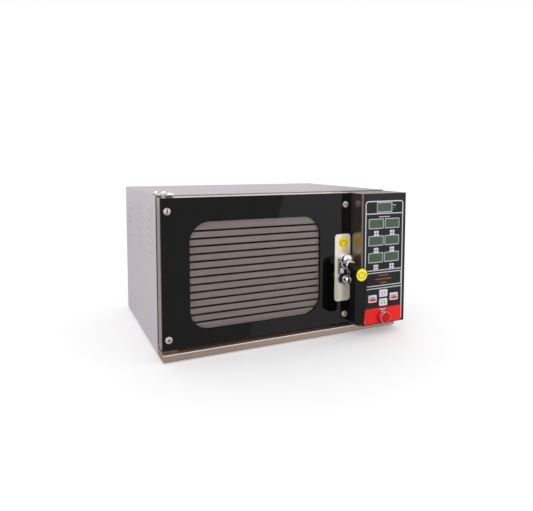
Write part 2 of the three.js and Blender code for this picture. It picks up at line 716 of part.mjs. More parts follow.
function doorScrew(x, z, slotAngle) {
  const { head, shank, front } = SCREW;
  const seat = GLASS.front - GAP;
  const body = turnedY(x, z, [
    [0, -20], [shank, -20], [shank, seat], [head, seat], [head, front + 1], [head - 1.8, front], [0, front],
  ], 20);
  const slot = new THREE.BoxGeometry(3 * head, 2.4, 1.5);
  slot.rotateY(slotAngle);
  slot.translate(x, front, z);
  return cut(body, toSolid(slot));
}

function latchPlate() {
  return cut(
    platesY(roundedRect(LATCH_PLATE), LATCH_PLATE.front, GLASS.front - GAP, 4),
    roundY(LATCH.x, LATCH.z, LATCH.hole, -50, -30),
  );
}

function latchEscutcheon() {
  const { z, width, height, front } = ESCUTCHEON;
  const outline = roundedRect(centred(LATCH.x, z, width, height, width / 2 - 0.01));
  return cut(
    platesY(outline, front, LATCH_PLATE.front - GAP),
    roundY(LATCH.x, LATCH.z, LATCH.hole, -52, -40),
  );
}

function latchStud() {
  const { z, radius, front, dome } = STUD;
  const seat = ESCUTCHEON.front - GAP;
  return turnedY(LATCH.x, z, [
    [0, seat], [radius + 2, seat], [radius + 2, seat - 3], [radius, seat - 4],
    ...domeProfile(radius, front + dome, dome),
  ]);
}

// ---------------------------------------------------------------- handle
function hubSolid(extra) {
  const { radius, front, back, dome } = HUB;
  return turnedY(LATCH.x, LATCH.z, [
    [0, CAM.back + PAST], [LATCH.shaft + extra, CAM.back + PAST], [LATCH.shaft + extra, back + extra],
    [radius + extra, back + extra], ...domeProfile(radius + extra, front + dome, dome + extra, 5),
  ], HUB.sides);
}

function handleGrip() {
  const { front, back, waist, waistZ, boss, bossX, bossZ, bottom } = GRIP;
  const top = bossZ + boss;
  const behind = polygon([
    [back, bottom - PAST], [waist, waistZ], [waist, top], [back + PAST, top], [back + PAST, bottom - PAST],
  ]);
  const chamfer = 4;
  const body = polygon([
    [bossX - boss, bossZ], [111.5, bottom + chamfer], [111.5 + chamfer, bottom],
    [134.5 - chamfer, bottom], [134.5, bottom + chamfer], [bossX + boss, bossZ],
  ]);
  const neckPath = new THREE.CatmullRomCurve3([
    new THREE.Vector3(LATCH.x, -58, 148),
    new THREE.Vector3(122.5, -71, 149.5),
    new THREE.Vector3(125, -83, 146),
    new THREE.Vector3(bossX, -93, bossZ),
  ]);
  const section = roundedRect(centred(0, 0, 17, 17, 6));
  const neck = new THREE.ExtrudeGeometry(section, {
    steps: 8, bevelEnabled: false, curveSegments: 3, extrudePath: neckPath,
  });
  const whole = join(
    roundY(bossX, bossZ, boss, front, waist, 28),
    cut(platesY(body, front, back), platesX(behind, bossX - 2 * boss, bossX + 2 * boss)),
    toSolid(neck),
  );
  const besideHub = roundY(LATCH.x, LATCH.z, HUB.radius + GAP, HUB.front + HUB.dome, -40, HUB.sides);
  return cut(whole, hubSolid(GAP), besideHub);
}

function latchCam() {
  const { front, back, reach, radius } = CAM;
  const arm = block(LATCH.x, LATCH.x + reach, front, back, LATCH.z - 5, LATCH.z + 5);
  return cut(
    join(roundY(LATCH.x, LATCH.z, radius, front, back, 20), arm),
    roundY(LATCH.x, LATCH.z, LATCH.shaft + GAP, front - PAST, back + PAST, 28),
  );
}

// ---------------------------------------------------------------- assembly
const oven = new THREE.Group();
oven.position.set(0, -ORIGIN_Y, 0);

function place(name, solid, material) {
  const mesh = new THREE.Mesh(toGeometry(solid), material());
  mesh.name = name;
  oven.add(mesh);
}

place('outer_casing', outerCasing(), casingPaint);
place('base_pan', basePan(), galvanised);
place('front_sill', frontSill(), sillSteel);
place('rear_panel', rearPanel(), casingPaint);
place('front_frame', frontFrame(), brushedSteel);
place('cavity_liner', cavityLiner(), brushedSteel);
place('insulation_wrap', insulationWrap(), insulation);
place('partition_wall', partitionWall(), galvanised);

place('control_housing', controlHousing(), brushedSteel);
place('control_fascia', controlFascia(), fasciaFilm);
place('main_display', mainDisplay(), displayFilm);
place('timer_displays', timerDisplays(), displayFilm);
place('control_board', controlBoard(), boardGreen);
place('power_button_bezel', powerButtonBezel(), chrome);
place('power_button', powerButton(), redCap);
padPlaces().forEach(([name, x, z]) => place(name, padKey(x, z), whiteKey));
timerPlaces().forEach(([x, z], i) => {
  place(`timer_key_${i + 1}`, timerKey(x, z - TIMER_KEY.below), whiteKey);
});

place('rack_guide_left', rackGuide(-1), brushedSteel);
place('rack_guide_right', rackGuide(1), brushedSteel);
place('wire_rack', wireRack(), chrome);
place('fan_baffle', fanBaffle(), brushedSteel);
place('heating_element', heatingElement(), galvanised);
place('temperature_probe', temperatureProbe(), brushedSteel);
place('fan_wheel', fanWheel(), galvanised);
place('fan_motor', fanMotor(), galvanised);

place('relay_heatsink', relayHeatsink(), aluminium);
place('mains_inlet', mainsInlet(), blackPlastic);
place('cooling_fan_frame', coolingFanFrame(), blackPlastic);
place('cooling_fan_rotor', coolingFanRotor(), blackPlastic);

place('hinge_bracket_top', hingeBracketTop(), paleSteel);
place('hinge_pin_top', hingePinTop(), paleSteel);
place('hinge_bracket_bottom', hingeBracketBottom(), paleSteel);
place('latch_strike', latchStrike(), paleSteel);
const footPlaces = [
  [-FOOT.x, FOOT.front], [FOOT.x, FOOT.front], [-FOOT.x, FOOT.back], [FOOT.x, FOOT.back],
];
footPlaces.forEach(([x, y], i) => place(`foot_${i + 1}`, foot(x, y), sealRubber));

place('door_shell', doorShell(), brushedSteel);
place('door_glass_outer', doorGlassOuter(), blackGlass);
place('window_grille', windowGrille(), brushedSteel);
place('door_glass_inner', doorGlassInner(), clearGlass);
place('door_seal', doorSeal(), sealRubber);
screwPlaces().forEach(([name, x, z, angle]) => place(name, doorScrew(x, z, angle), paleSteel));
place('latch_plate', latchPlate(), paleSteel);
place('latch_escutcheon', latchEscutcheon(), paleSteel);
place('latch_stud', latchStud(), chrome);

place('handle_hub', hubSolid(0), chrome);
place('handle_grip', handleGrip(), blackPlastic);
place('latch_cam', latchCam(), galvanised);

export default oven;
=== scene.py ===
"""Looks of a bench-top convection oven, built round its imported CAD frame.

Everything is in metres, x to the oven's right, y to its back and z up. Sizes that
the frame holds are read from it, and the others are named here in millimetres.
"""
import math

import bpy
from mathutils import Matrix, Vector


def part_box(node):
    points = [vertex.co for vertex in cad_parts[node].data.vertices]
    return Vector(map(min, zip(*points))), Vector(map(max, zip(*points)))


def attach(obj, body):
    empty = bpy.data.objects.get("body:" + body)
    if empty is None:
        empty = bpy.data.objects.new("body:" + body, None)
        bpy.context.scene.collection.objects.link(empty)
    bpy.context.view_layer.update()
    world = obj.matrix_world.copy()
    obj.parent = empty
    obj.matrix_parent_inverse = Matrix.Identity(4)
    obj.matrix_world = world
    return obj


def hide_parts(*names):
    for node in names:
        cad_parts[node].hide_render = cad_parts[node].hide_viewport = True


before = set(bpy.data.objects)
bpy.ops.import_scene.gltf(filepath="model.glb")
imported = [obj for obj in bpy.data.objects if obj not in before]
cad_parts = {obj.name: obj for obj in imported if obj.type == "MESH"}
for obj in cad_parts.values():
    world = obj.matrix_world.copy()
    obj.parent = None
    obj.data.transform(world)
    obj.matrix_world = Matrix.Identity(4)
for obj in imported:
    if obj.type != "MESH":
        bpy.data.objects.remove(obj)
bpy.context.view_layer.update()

MM = 0.001

# ------------------------------------------------------------------ places read from the frame
GLASS_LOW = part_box("door_glass_outer")[0]
GRILLE_LOW, GRILLE_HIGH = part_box("window_grille")
CASING_LOW, CASING_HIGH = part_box("outer_casing")
FASCIA_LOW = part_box("control_fascia")[0]
PLATE_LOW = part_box("latch_plate")[0]
SCUTCHEON_LOW, SCUTCHEON_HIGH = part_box("latch_escutcheon")
GRIP_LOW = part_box("handle_grip")[0]
RACK_LOW, RACK_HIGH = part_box("wire_rack")
FACE = FASCIA_LOW.y  # front of the printed fascia

GRILLE_MARGIN = 9 * MM  # how far the grille runs past the clear window
WINDOW_LOW = GRILLE_LOW + Vector((GRILLE_MARGIN, 0, GRILLE_MARGIN))
WINDOW_HIGH = GRILLE_HIGH - Vector((GRILLE_MARGIN, 0, GRILLE_MARGIN))
WINDOW_RADIUS = 38 * MM


# ------------------------------------------------------------------ colours and shader maths
def colour(red, green, blue):
    """A colour given as 0 to 255 on a screen, as the linear values that shaders take."""
    def linear(value):
        value /= 255
        return value / 12.92 if value <= 0.04045 else ((value + 0.055) / 1.055) ** 2.4
    return (linear(red), linear(green), linear(blue), 1.0)


def dimmed(tint, by):
    return tuple(channel * by for channel in tint[:3]) + (1.0,)


class Value:
    """A node's output socket. Sums and products of values add Math nodes."""

    def __init__(self, nodes, socket):
        self.nodes = nodes
        self.socket = socket

    def __add__(self, other):
        return self.nodes.math("ADD", self, other)

    def __sub__(self, other):
        return self.nodes.math("SUBTRACT", self, other)

    def __rsub__(self, other):
        return self.nodes.math("SUBTRACT", other, self)

    def __mul__(self, other):
        return self.nodes.math("MULTIPLY", self, other)

    def __truediv__(self, other):
        return self.nodes.math("DIVIDE", self, other)

    __radd__ = __add__
    __rmul__ = __mul__


class Nodes:
    """A node tree, and the ways in which nodes are added to it."""

    def __init__(self, tree):
        self.tree = tree

    def node(self, kind, settings=None, values=None, output=0):
        """Adds any node: its settings, a ramp's stops, then its sockets' values or links."""
        node = self.tree.nodes.new(kind)
        for name, value in (settings or {}).items():
            if name == "stops":
                for stop, (position, tint) in zip(node.color_ramp.elements, value):
                    stop.position, stop.color = position, tint
            else:
                setattr(node, name, value)
        for socket, value in (values or {}).items():
            self.feed(node.inputs[socket], value)
        return Value(self, node.outputs[output])

    def feed(self, socket, value):
        if isinstance(value, Value):
            self.tree.links.new(value.socket, socket)
        else:
            socket.default_value = value

    def math(self, operation, *terms):
        return self.node("ShaderNodeMath", {"operation": operation}, dict(enumerate(terms)))

    def mix(self, factor, first, second):
        values = {0: factor, 6: first, 7: second}
        return self.node("ShaderNodeMix", {"data_type": "RGBA"}, values, 2)


class Shader(Nodes):
    """One material. Constants go straight on the surface's sockets."""

    def __init__(self, name, **constants):
        self.material = bpy.data.materials.new(name)
        self.material.use_nodes = True
        super().__init__(self.material.node_tree)
        self.surface = self.tree.nodes["Principled BSDF"]
        for socket, value in constants.items():
            self.surface.inputs[socket.replace("_", " ")].default_value = value

    def set(self, socket, value):
        self.feed(self.surface.inputs[socket], value)

    def place(self, scale=(1, 1, 1)):
        """The point being shaded, in the piece's own metres, stretched by a scale."""
        here = self.node("ShaderNodeTexCoord", output="Object")
        return self.node("ShaderNodeMapping", values={"Vector": here, "Scale": scale})

    def noise(self, scale, detail=2.0, stretch=(1, 1, 1)):
        values = {"Vector": self.place(stretch), "Scale": scale, "Detail": detail}
        return self.node("ShaderNodeTexNoise", values=values)

    def bump(self, height, strength, distance):
        values = {"Strength": strength, "Distance": distance, "Height": height}
        self.set("Normal", self.node("ShaderNodeBump", values=values))


# ------------------------------------------------------------------ materials
def powder_coat(name, tint):
    """Baked paint: a faint orange peel, and a tone that drifts slowly over a panel."""
    shader = Shader(name, Metallic=0.0, Specular_IOR_Level=0.08)
    drift = shader.noise(5.0)
    shader.set("Base Color", shader.mix(drift, dimmed(tint, 0.95), dimmed(tint, 1.04)))
    peel = shader.noise(700.0, detail=3.0)
    shader.set("Roughness", 0.37 + 0.10 * peel)
    shader.bump(peel, 0.12, 0.15 * MM)
    return shader.material


def brushed(name, tint, along, roughness=0.26, contrast=0.16, metallic=1.0, fineness=900.0):
    """Steel brushed along one axis: long fine streaks in tone, gloss and relief."""
    shader = Shader(name, Metallic=metallic)
    stretch = [fineness] * 3
    stretch["xyz".index(along)] = 9.0
    streaks = shader.noise(1.0, detail=4.0, stretch=stretch)
    clouds = shader.noise(14.0, detail=2.0)
    tone = 0.75 * streaks + 0.25 * clouds
    dark, pale = dimmed(tint, 1 - contrast), dimmed(tint, 1 + contrast)
    shader.set("Base Color", shader.mix(tone, dark, pale))
    shader.set("Roughness", roughness + 0.16 * (streaks - 0.5) + 0.06 * clouds)
    shader.bump(streaks, 0.10, 0.05 * MM)
    return shader.material


def chrome_plate(name, tint=(0.86, 0.86, 0.88, 1), roughness=0.05):
    """Bright plating with a slight haze in its gloss."""
    shader = Shader(name, Metallic=1.0, Base_Color=tint)
    haze = shader.noise(60.0, detail=4.0)
    shader.set("Roughness", roughness + 0.05 * haze)
    return shader.material


def zinc(name, tint):
    """Galvanised sheet: a spangle of pale and dark crystals."""
    shader = Shader(name, Metallic=0.9)
    values = {"Vector": shader.place(), "Scale": 150.0}
    spangle = shader.node("ShaderNodeTexVoronoi", values=values, output="Color")
    grey = shader.node("ShaderNodeRGBToBW", values={"Color": spangle})
    shader.set("Base Color", shader.mix(grey, dimmed(tint, 0.8), dimmed(tint, 1.25)))
    shader.set("Roughness", 0.38 + 0.2 * grey)
    return shader.material


def moulded(name, tint, roughness, grain=900.0, relief=0.2, gleam=0.45):
    """Moulded plastic or rubber with a fine spark-eroded grain."""
    shader = Shader(name, Specular_IOR_Level=gleam)
    spark = shader.noise(grain, detail=2.0)
    wear = shader.noise(40.0, detail=3.0)
    shader.set("Base Color", shader.mix(wear, dimmed(tint, 0.85), dimmed(tint, 1.2)))
    shader.set("Roughness", roughness - 0.08 + 0.16 * wear)
    shader.bump(spark, relief, 0.08 * MM)
    return shader.material


def printed_ink(name, tint, roughness=0.38):
    """Screen-printed ink or a smooth painted face, nearly matt."""
    shader = Shader(name, Specular_IOR_Level=0.14)
    speckle = shader.noise(1500.0, detail=1.0)
    shader.set("Base Color", shader.mix(speckle, dimmed(tint, 0.93), dimmed(tint, 1.05)))
    shader.set("Roughness", roughness + 0.08 * speckle)
    return shader.material


def clear_cap(name, tint, gloss):
    """A translucent moulded lens, its colour deeper and paler in soft random clouds."""
    shader = Shader(name, Coat_Weight=gloss, Coat_Roughness=0.03, Specular_IOR_Level=0.15)
    cloud = shader.noise(120.0, detail=2.0)
    shader.set("Base Color", shader.mix(cloud, dimmed(tint, 0.7), dimmed(tint, 1.15)))
    shader.set("Roughness", 0.16 + 0.1 * cloud)
    return shader.material


def rounded_window(shader):
    """1 inside the clear window of the door's glass and 0 outside, with a crisp edge."""
    centre = (WINDOW_LOW + WINDOW_HIGH) / 2
    half = (WINDOW_HIGH - WINDOW_LOW) / 2
    across = shader.node("ShaderNodeSeparateXYZ", values={"Vector": shader.place()}, output="X")
    height = shader.node("ShaderNodeSeparateXYZ", values={"Vector": shader.place()}, output="Z")
    aside = shader.math("ABSOLUTE", across - centre.x) - (half.x - WINDOW_RADIUS)
    upward = shader.math("ABSOLUTE", height - centre.z) - (half.z - WINDOW_RADIUS)
    corner_x = shader.math("MAXIMUM", aside, 0.0)
    corner_z = shader.math("MAXIMUM", upward, 0.0)
    distance = shader.math("SQRT", corner_x * corner_x + corner_z * corner_z)
    edge = 0.3 * MM
    inside = (WINDOW_RADIUS - distance) / edge + 0.5
    return shader.node("ShaderNodeClamp", values={"Value": inside})


def door_glass(name):
    """Toughened glass, printed black on its back except for the window."""
    shader = Shader(name, Specular_IOR_Level=0.5, Roughness=0.02)
    window = rounded_window(shader)
    smudge = shader.noise(9.0, detail=3.0)
    shader.set("Base Color", shader.mix(smudge, colour(7, 7, 7), colour(11, 11, 11)))
    shader.set("Roughness", 0.015 + 0.02 * smudge)
    shader.set("Alpha", 1.0 - 0.8 * window)
    return shader.material


def clear_pane(name):
    shader = Shader(name, Base_Color=(0.02, 0.025, 0.025, 1))
    smudge = shader.noise(12.0, detail=3.0)
    shader.set("Roughness", 0.02 + 0.04 * smudge)
    shader.set("Alpha", 0.16 + 0.05 * smudge)
    return shader.material


def wool(name):
    shader = Shader(name, Roughness=0.95)
    fibres = shader.noise(220.0, detail=6.0, stretch=(1.0, 3.0, 6.0))
    shader.set("Base Color", shader.mix(fibres, colour(176, 168, 140), colour(226, 220, 200)))
    shader.bump(fibres, 0.8, 1.0 * MM)
    return shader.material


def circuit_mask(name):
    """Solder mask with the tracks' relief showing through."""
    shader = Shader(name, Coat_Weight=0.4)
    values = {"Vector": shader.place(), "Scale": 180.0}
    tracks = shader.node("ShaderNodeTexBrick", values=values, output="Fac")
    shader.set("Base Color", shader.mix(tracks, colour(16, 84, 46), colour(30, 112, 62)))
    shader.set("Roughness", 0.35 + 0.1 * tracks)
    return shader.material


FINISH = {}
for make, name, *values in (
    (powder_coat, "casing_paint", colour(190, 184, 188)),
    (brushed, "door_steel", colour(206, 192, 183), "z", 0.24, 0.08, 0.75),
    (brushed, "frame_steel", colour(170, 162, 156), "x", 0.3, 0.09),
    (brushed, "box_steel", colour(146, 132, 119), "z", 0.2, 0.08, 0.9),
    (brushed, "sill_steel", colour(196, 174, 162), "x", 0.28, 0.2, 0.75),
    (brushed, "slat_steel", colour(194, 180, 175), "x", 0.4, 0.26, 0.35, 420.0),
    (brushed, "pale_steel", colour(254, 245, 232), "z", 0.17, 0.025, 0.38),
    (chrome_plate, "bright_steel", colour(225, 218, 208), 0.16),
    (brushed, "screw_steel", colour(212, 197, 183), "x", 0.25, 0.04, 0.45),
    (brushed, "slot_shadow", colour(92, 74, 64), "x", 0.5, 0.16, 0.3),
    (zinc, "zinc", colour(156, 160, 164)),
    (chrome_plate, "chrome"),
    (door_glass, "door_glass"),
    (clear_pane, "clear_pane"),
    (moulded, "grip_plastic", colour(17, 16, 16), 0.36, 900.0, 0.2, 0.25),
    (moulded, "black_plastic", colour(30, 30, 31), 0.5),
    (moulded, "fascia_film", colour(26, 27, 28), 0.36, 1600.0, 0.08, 0.35),
    (printed_ink, "silver_ink", colour(196, 199, 206), 0.32),
    (printed_ink, "white_ink", colour(222, 224, 230), 0.4),
    (printed_ink, "grey_ink", colour(120, 124, 140), 0.4),
    (printed_ink, "dark_ink", colour(52, 54, 66), 0.4),
    (printed_ink, "red_ink", colour(233, 34, 30), 0.36),
    (printed_ink, "amber_ink", colour(168, 108, 62), 0.4),
    (clear_cap, "display_filter", colour(74, 94, 74), 0.5),
    (printed_ink, "display_ghost", colour(64, 84, 66), 0.25),
    (printed_ink, "key_white", colour(208, 207, 213), 0.3),
    (clear_cap, "red_cap", colour(206, 10, 8), 0.2),
    (printed_ink, "label_yellow", colour(240, 222, 40), 0.35),
    (printed_ink, "label_green", colour(110, 142, 40), 0.4),
    (printed_ink, "label_red", colour(206, 84, 40), 0.4),
    (moulded, "seal_rubber", colour(44, 44, 45), 0.75, 500.0),
    (moulded, "foot_rubber", colour(34, 34, 35), 0.8, 400.0),
    (circuit_mask, "circuit_mask"),
    (brushed, "aluminium", colour(190, 194, 198), "z", 0.34),
    (wool, "wool"),
):
    FINISH[name] = make(name, *values)


# ------------------------------------------------------------------ modelling tools
SHARP_ANGLE = math.radians(35)  # an edge sharper than this is an edge, and not part of a curve
PRINT_THICK = 0.12 * MM
THIN_PRINT = 0.1 * MM


def extent(node):
    """A CAD node's lowest corner, highest corner and centre."""
    low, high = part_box(node)
    return low, high, (low + high) / 2


def deselect():
    bpy.ops.object.select_all(action="DESELECT")


def activate(piece):
    deselect()
    piece.select_set(True)
    bpy.context.view_layer.objects.active = piece


def settle(piece, name):
    """Puts the new piece's place into its mesh, so that its object sits at the origin."""
    piece.name = name
    piece.data.name = name
    activate(piece)
    bpy.ops.object.transform_apply(location=True, rotation=True, scale=True)
    return piece


def slab(name, low, high):
    """A block from its lowest to its highest corner."""
    deselect()
    low, high = Vector(low), Vector(high)
    bpy.ops.mesh.primitive_cube_add(size=1, location=(low + high) / 2)
    piece = bpy.context.object
    piece.scale = high - low
    return settle(piece, name)


def pick(piece, kind, chosen):
    """Enters edit mode with only the vertices, edges or faces chosen by their place selected."""
    mesh = piece.data
    activate(piece)
    for group in (mesh.vertices, mesh.edges, mesh.polygons):
        for item in group:
            item.select = False
    if kind == "VERT":
        for vertex in mesh.vertices:
            vertex.select = chosen(vertex.co)
    if kind == "EDGE":
        for edge in mesh.edges:
            ends = [mesh.vertices[index].co for index in edge.vertices]
            edge.select = chosen(*ends)
    if kind == "FACE":
        for face in mesh.polygons:
            face.select = chosen(face.center, face.normal)
    bpy.context.tool_settings.mesh_select_mode = (kind == "VERT", kind == "EDGE", kind == "FACE")
    bpy.ops.object.mode_set(mode="EDIT")


def leave():
    bpy.ops.object.mode_set(mode="OBJECT")


def along_y(start, end):
    """Whether an edge runs from front to back."""
    return abs(start.y - end.y) > 0.1 * MM


def rounded(piece, radius, segments, chosen):
    """Rounds only the edges chosen by where their two ends are."""
    pick(piece, "EDGE", chosen)
    bpy.ops.mesh.bevel(offset=radius, segments=segments, affect="EDGES")
    leave()


def edit_all():
    bpy.ops.object.mode_set(mode="EDIT")
    bpy.ops.mesh.select_all(action="SELECT")


def close_up():
    """Turns every face outward and leaves edit mode."""
    bpy.ops.mesh.select_all(action="SELECT")
    bpy.ops.mesh.normals_make_consistent(inside=False)
    leave()


def push(depth):
    """Gives the whole flat piece a depth along y, closes it up and leaves edit mode."""
    bpy.ops.mesh.select_all(action="SELECT")
    bpy.ops.mesh.extrude_region_move(TRANSFORM_OT_translate={"value": (0, depth, 0)})
    close_up()


def modify(piece, kind, **settings):
    """Adds a modifier and applies it."""
    modifier = piece.modifiers.new(kind.title(), kind)
    for name, value in settings.items():
        setattr(modifier, name, value)
    activate(piece)
    bpy.ops.object.modifier_apply(modifier=modifier.name)
    return piece


def soften(piece, width, segments=2, angle=SHARP_ANGLE):
    """Rounds every edge sharper than an angle."""
    return modify(
        piece, "BEVEL", width=width, segments=segments, limit_method="ANGLE",
        angle_limit=angle, use_clamp_overlap=True,
    )


def take_away(piece, *cutters):
    """Cuts pieces away; the cut faces take the cutter's material, where it has one."""
    for cutter in cutters:
        modify(piece, "BOOLEAN", operation="DIFFERENCE", solver="EXACT", object=cutter,
               material_mode="TRANSFER" if cutter.data.materials else "INDEX")
        bpy.data.objects.remove(cutter)
    return piece


def joined(name, pieces):
    """Several objects as one piece; each keeps its own material."""
    deselect()
    for piece in pieces:
        piece.select_set(True)
    bpy.context.view_layer.objects.active = pieces[0]
    bpy.ops.object.join()
    whole = bpy.context.object
    whole.name = name
    whole.data.name = name
    return whole


def copied(piece, offset):
    """A copy with its own mesh, moved by an offset."""
    twin = piece.copy()
    twin.data = piece.data.copy()
    twin.data.transform(Matrix.Translation(Vector(offset)))
    bpy.context.scene.collection.objects.link(twin)
    return twin


def smooth(piece):
    """Shades round parts smoothly, while large flat faces stay flat."""
    activate(piece)
    bpy.ops.object.shade_smooth_by_angle(angle=SHARP_ANGLE)
    return modify(piece, "WEIGHTED_NORMAL", mode="FACE_AREA", keep_sharp=True)


def painted(piece, finish):
    piece.data.materials.clear()
    piece.data.materials.append(FINISH[finish])
    return piece


def fitted(piece, body, slot, *nodes):
    """The piece rides on a body and stands for these CAD nodes; its slot is not used."""
    smooth(piece)
    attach(piece, body)
    if nodes:
        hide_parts(*nodes)
    return piece


def merged(node, name):
    """A copy of a CAD node whose triangles are merged into plain faces."""
    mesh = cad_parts[node].data.copy()
    piece = bpy.data.objects.new(name, mesh)
    mesh.name = name
    bpy.context.scene.collection.objects.link(piece)
    activate(piece)
    bpy.ops.mesh.customdata_custom_splitnormals_clear()
    edit_all()
    bpy.ops.mesh.remove_doubles(threshold=0.005 * MM)
    bpy.ops.mesh.dissolve_limited(angle_limit=math.radians(0.5))
    leave()
    return piece


def refined(node, body, slot, finish, round_by=0.5, segments=2):
    """A CAD node's own shape with its folded or moulded edges rounded."""
    piece = merged(node, node + "_finished")
    if round_by:
        soften(piece, round_by * MM, segments)
    painted(piece, finish)
    return fitted(piece, body, slot, node)


def refined_all(rows):
    for row in rows:
        refined(*row)


def flat_disc(name, x, y, z, radius, sides, turn=0.0):
    """A flat disc or even polygon that faces the front, turned about y by an angle."""
    deselect()
    bpy.ops.mesh.primitive_circle_add(
        vertices=sides, radius=radius, fill_type="NGON", location=(x, y, z),
        rotation=(math.pi / 2, turn, 0),
    )
    return settle(bpy.context.object, name)


def flat_sheet(name, x, y, z, width, height):
    """A flat rectangle that faces the front."""
    deselect()
    bpy.ops.mesh.primitive_plane_add(size=1, location=(x, y, z), rotation=(math.pi / 2, 0, 0))
    piece = bpy.context.object
    piece.scale = (width, height, 1)
    return settle(piece, name)


def turned(name, x, z, profile, finish, sides=48):
    """A round piece turned about the y axis, from pairs of radius and y, rear end first."""
    (radius, y), *rest = profile
    piece = flat_disc(name, x, y, z, radius, sides)
    edit_all()
    for next_radius, next_y in rest:
        bpy.ops.mesh.extrude_region_move(TRANSFORM_OT_translate={"value": (0, next_y - y, 0)})
        ratio = next_radius / radius
        bpy.ops.transform.resize(value=(ratio, 1, ratio), center_override=(x, next_y, z))
        radius, y = next_radius, next_y
    close_up()
    return painted(piece, finish)


def upright(piece, y):
    """Stands a piece turned about the y axis on end at y, its front facing up."""
    piece.data.transform(Matrix.Translation((0, y, 0)) @ Matrix.Rotation(-math.pi / 2, 4, "X"))
    activate(piece)
    edit_all()
    close_up()
    return piece


def arc_profile(radius, y, height, steps=6, last=0.06):
    """Pairs of radius and y for a dome that rises towards the front from y."""
    pairs = []
    for step in range(1, steps + 1):
        angle = step / steps * math.pi / 2
        pairs.append((max(radius * math.cos(angle), radius * last), y - height * math.sin(angle)))
    return pairs


def card(name, x, z, width, height, corner, front, thick=PRINT_THICK, finish="silver_ink"):
    """A thin round-cornered print that stands proud of the face behind it."""
    piece = flat_sheet(name, x, front, z, width, height)
    edit_all()
    if corner:
        bpy.ops.mesh.bevel(offset=corner, offset_type="OFFSET", segments=5, affect="VERTICES")
    push(-thick)
    return painted(piece, finish)


def ring(name, x, z, width, height, corner, line):
    """A silver line round a round-cornered rectangle: the outer size and the line's width."""
    piece = flat_sheet(name, x, FACE, z, width, height)
    edit_all()
    bpy.ops.mesh.bevel(offset=corner, offset_type="OFFSET", segments=6, affect="VERTICES")
    bpy.ops.mesh.select_all(action="SELECT")
    bpy.ops.mesh.inset(thickness=line, depth=0)
    bpy.ops.mesh.delete(type="FACE")
    push(-0.15 * MM)
    return painted(piece, "silver_ink")


# ------------------------------------------------------------------ camera, floor and light
CAMERA_PLACE = Vector((-0.44, -1.0624, 0.3635))
CAMERA_YAW = math.radians(26.13)
CAMERA_PITCH = math.radians(4.39)
CAMERA_ROLL = math.radians(0.18)
CAMERA_LENS = 34.22
CAMERA_SHIFT = (-0.0441, -0.1041)
WHITE = (1, 1, 1, 1)
# Heights run from 0 straight down through 0.5 level to 1 straight up.
SKY_STOPS = ((0.5, (1.06, 1.06, 1.065, 1)), (1.0, (0.80, 0.80, 0.805, 1)))
ROOM_STOPS = ((0.46, (0.30, 0.29, 0.285, 1)), (0.72, (1.0, 1.0, 1.01, 1)))


def make_camera():
    data = bpy.data.cameras.new("view")
    data.sensor_width = 36
    data.lens = CAMERA_LENS
    data.shift_x, data.shift_y = CAMERA_SHIFT
    data.clip_end = 50
    camera = bpy.data.objects.new("view", data)
    camera.matrix_world = (
        Matrix.Translation(CAMERA_PLACE)
        @ Matrix.Rotation(-CAMERA_YAW, 4, "Z")
        @ Matrix.Rotation(math.pi / 2 - CAMERA_PITCH, 4, "X")
        @ Matrix.Rotation(CAMERA_ROLL, 4, "Z")
    )
    bpy.context.scene.collection.objects.link(camera)
    bpy.context.scene.camera = camera


def make_floor():
    """A white floor that glows a little, so that it stays white under the dimmer sky."""
    deselect()
    bpy.ops.mesh.primitive_plane_add(size=40, location=(0, 0, 0))
    floor = bpy.context.object
    floor.name = "floor"
    glow = {"Emission_Color": WHITE, "Emission_Strength": 0.18}
    shader = Shader("floor", Roughness=0.9, Specular_IOR_Level=0.1, **glow)
    tone = shader.noise(3.0)
    shader.set("Base Color", shader.mix(tone, (0.96, 0.96, 0.96, 1), (0.99, 0.99, 0.99, 1)))
    floor.data.materials.append(shader.material)
    floor.visible_glossy = False


def soft_light(name, place, aim, size, power):
    """A round lamp of a size in metres and a power in watts, turned towards a point."""
    data = bpy.data.lights.new(name, "AREA")
    data.shape = "DISK"
    data.size = size
    data.energy = power
    light = bpy.data.objects.new(name, data)
    light.location = place
    light.rotation_mode = "QUATERNION"
    light.rotation_quaternion = (Vector(aim) - Vector(place)).to_track_quat("-Z", "Y")
    bpy.context.scene.collection.objects.link(light)


def make_world():
    """White for the camera, a soft sky for surfaces, and a graded room for reflections."""
    world = bpy.data.worlds.new("room")
    world.use_nodes = True
    bpy.context.scene.world = world
    room = Nodes(world.node_tree)
    direction = room.node("ShaderNodeTexCoord", output="Generated")
    upward = room.node("ShaderNodeSeparateXYZ", values={"Vector": direction}, output="Z")
    height = room.node("ShaderNodeMapRange", values={"Value": upward, "From Min": -1.0})
    sky = room.node("ShaderNodeValToRGB", {"stops": SKY_STOPS}, {"Fac": height})
    reflected = room.node("ShaderNodeValToRGB", {"stops": ROOM_STOPS}, {"Fac": height})
    glossy_ray = room.node("ShaderNodeLightPath", output="Is Glossy Ray")
    camera_ray = room.node("ShaderNodeLightPath", output="Is Camera Ray")
    light = room.mix(camera_ray, room.mix(glossy_ray, sky, reflected), WHITE)
    room.feed(room.tree.nodes["Background"].inputs["Color"], light)


def make_lights():
    aim = (0, 0, 0.15)
    soft_light("key", (-2.1, -1.9, 0.55), aim, size=1.0, power=9)
    soft_light("fill", (1.5, -2.1, 0.6), aim, size=1.1, power=5)


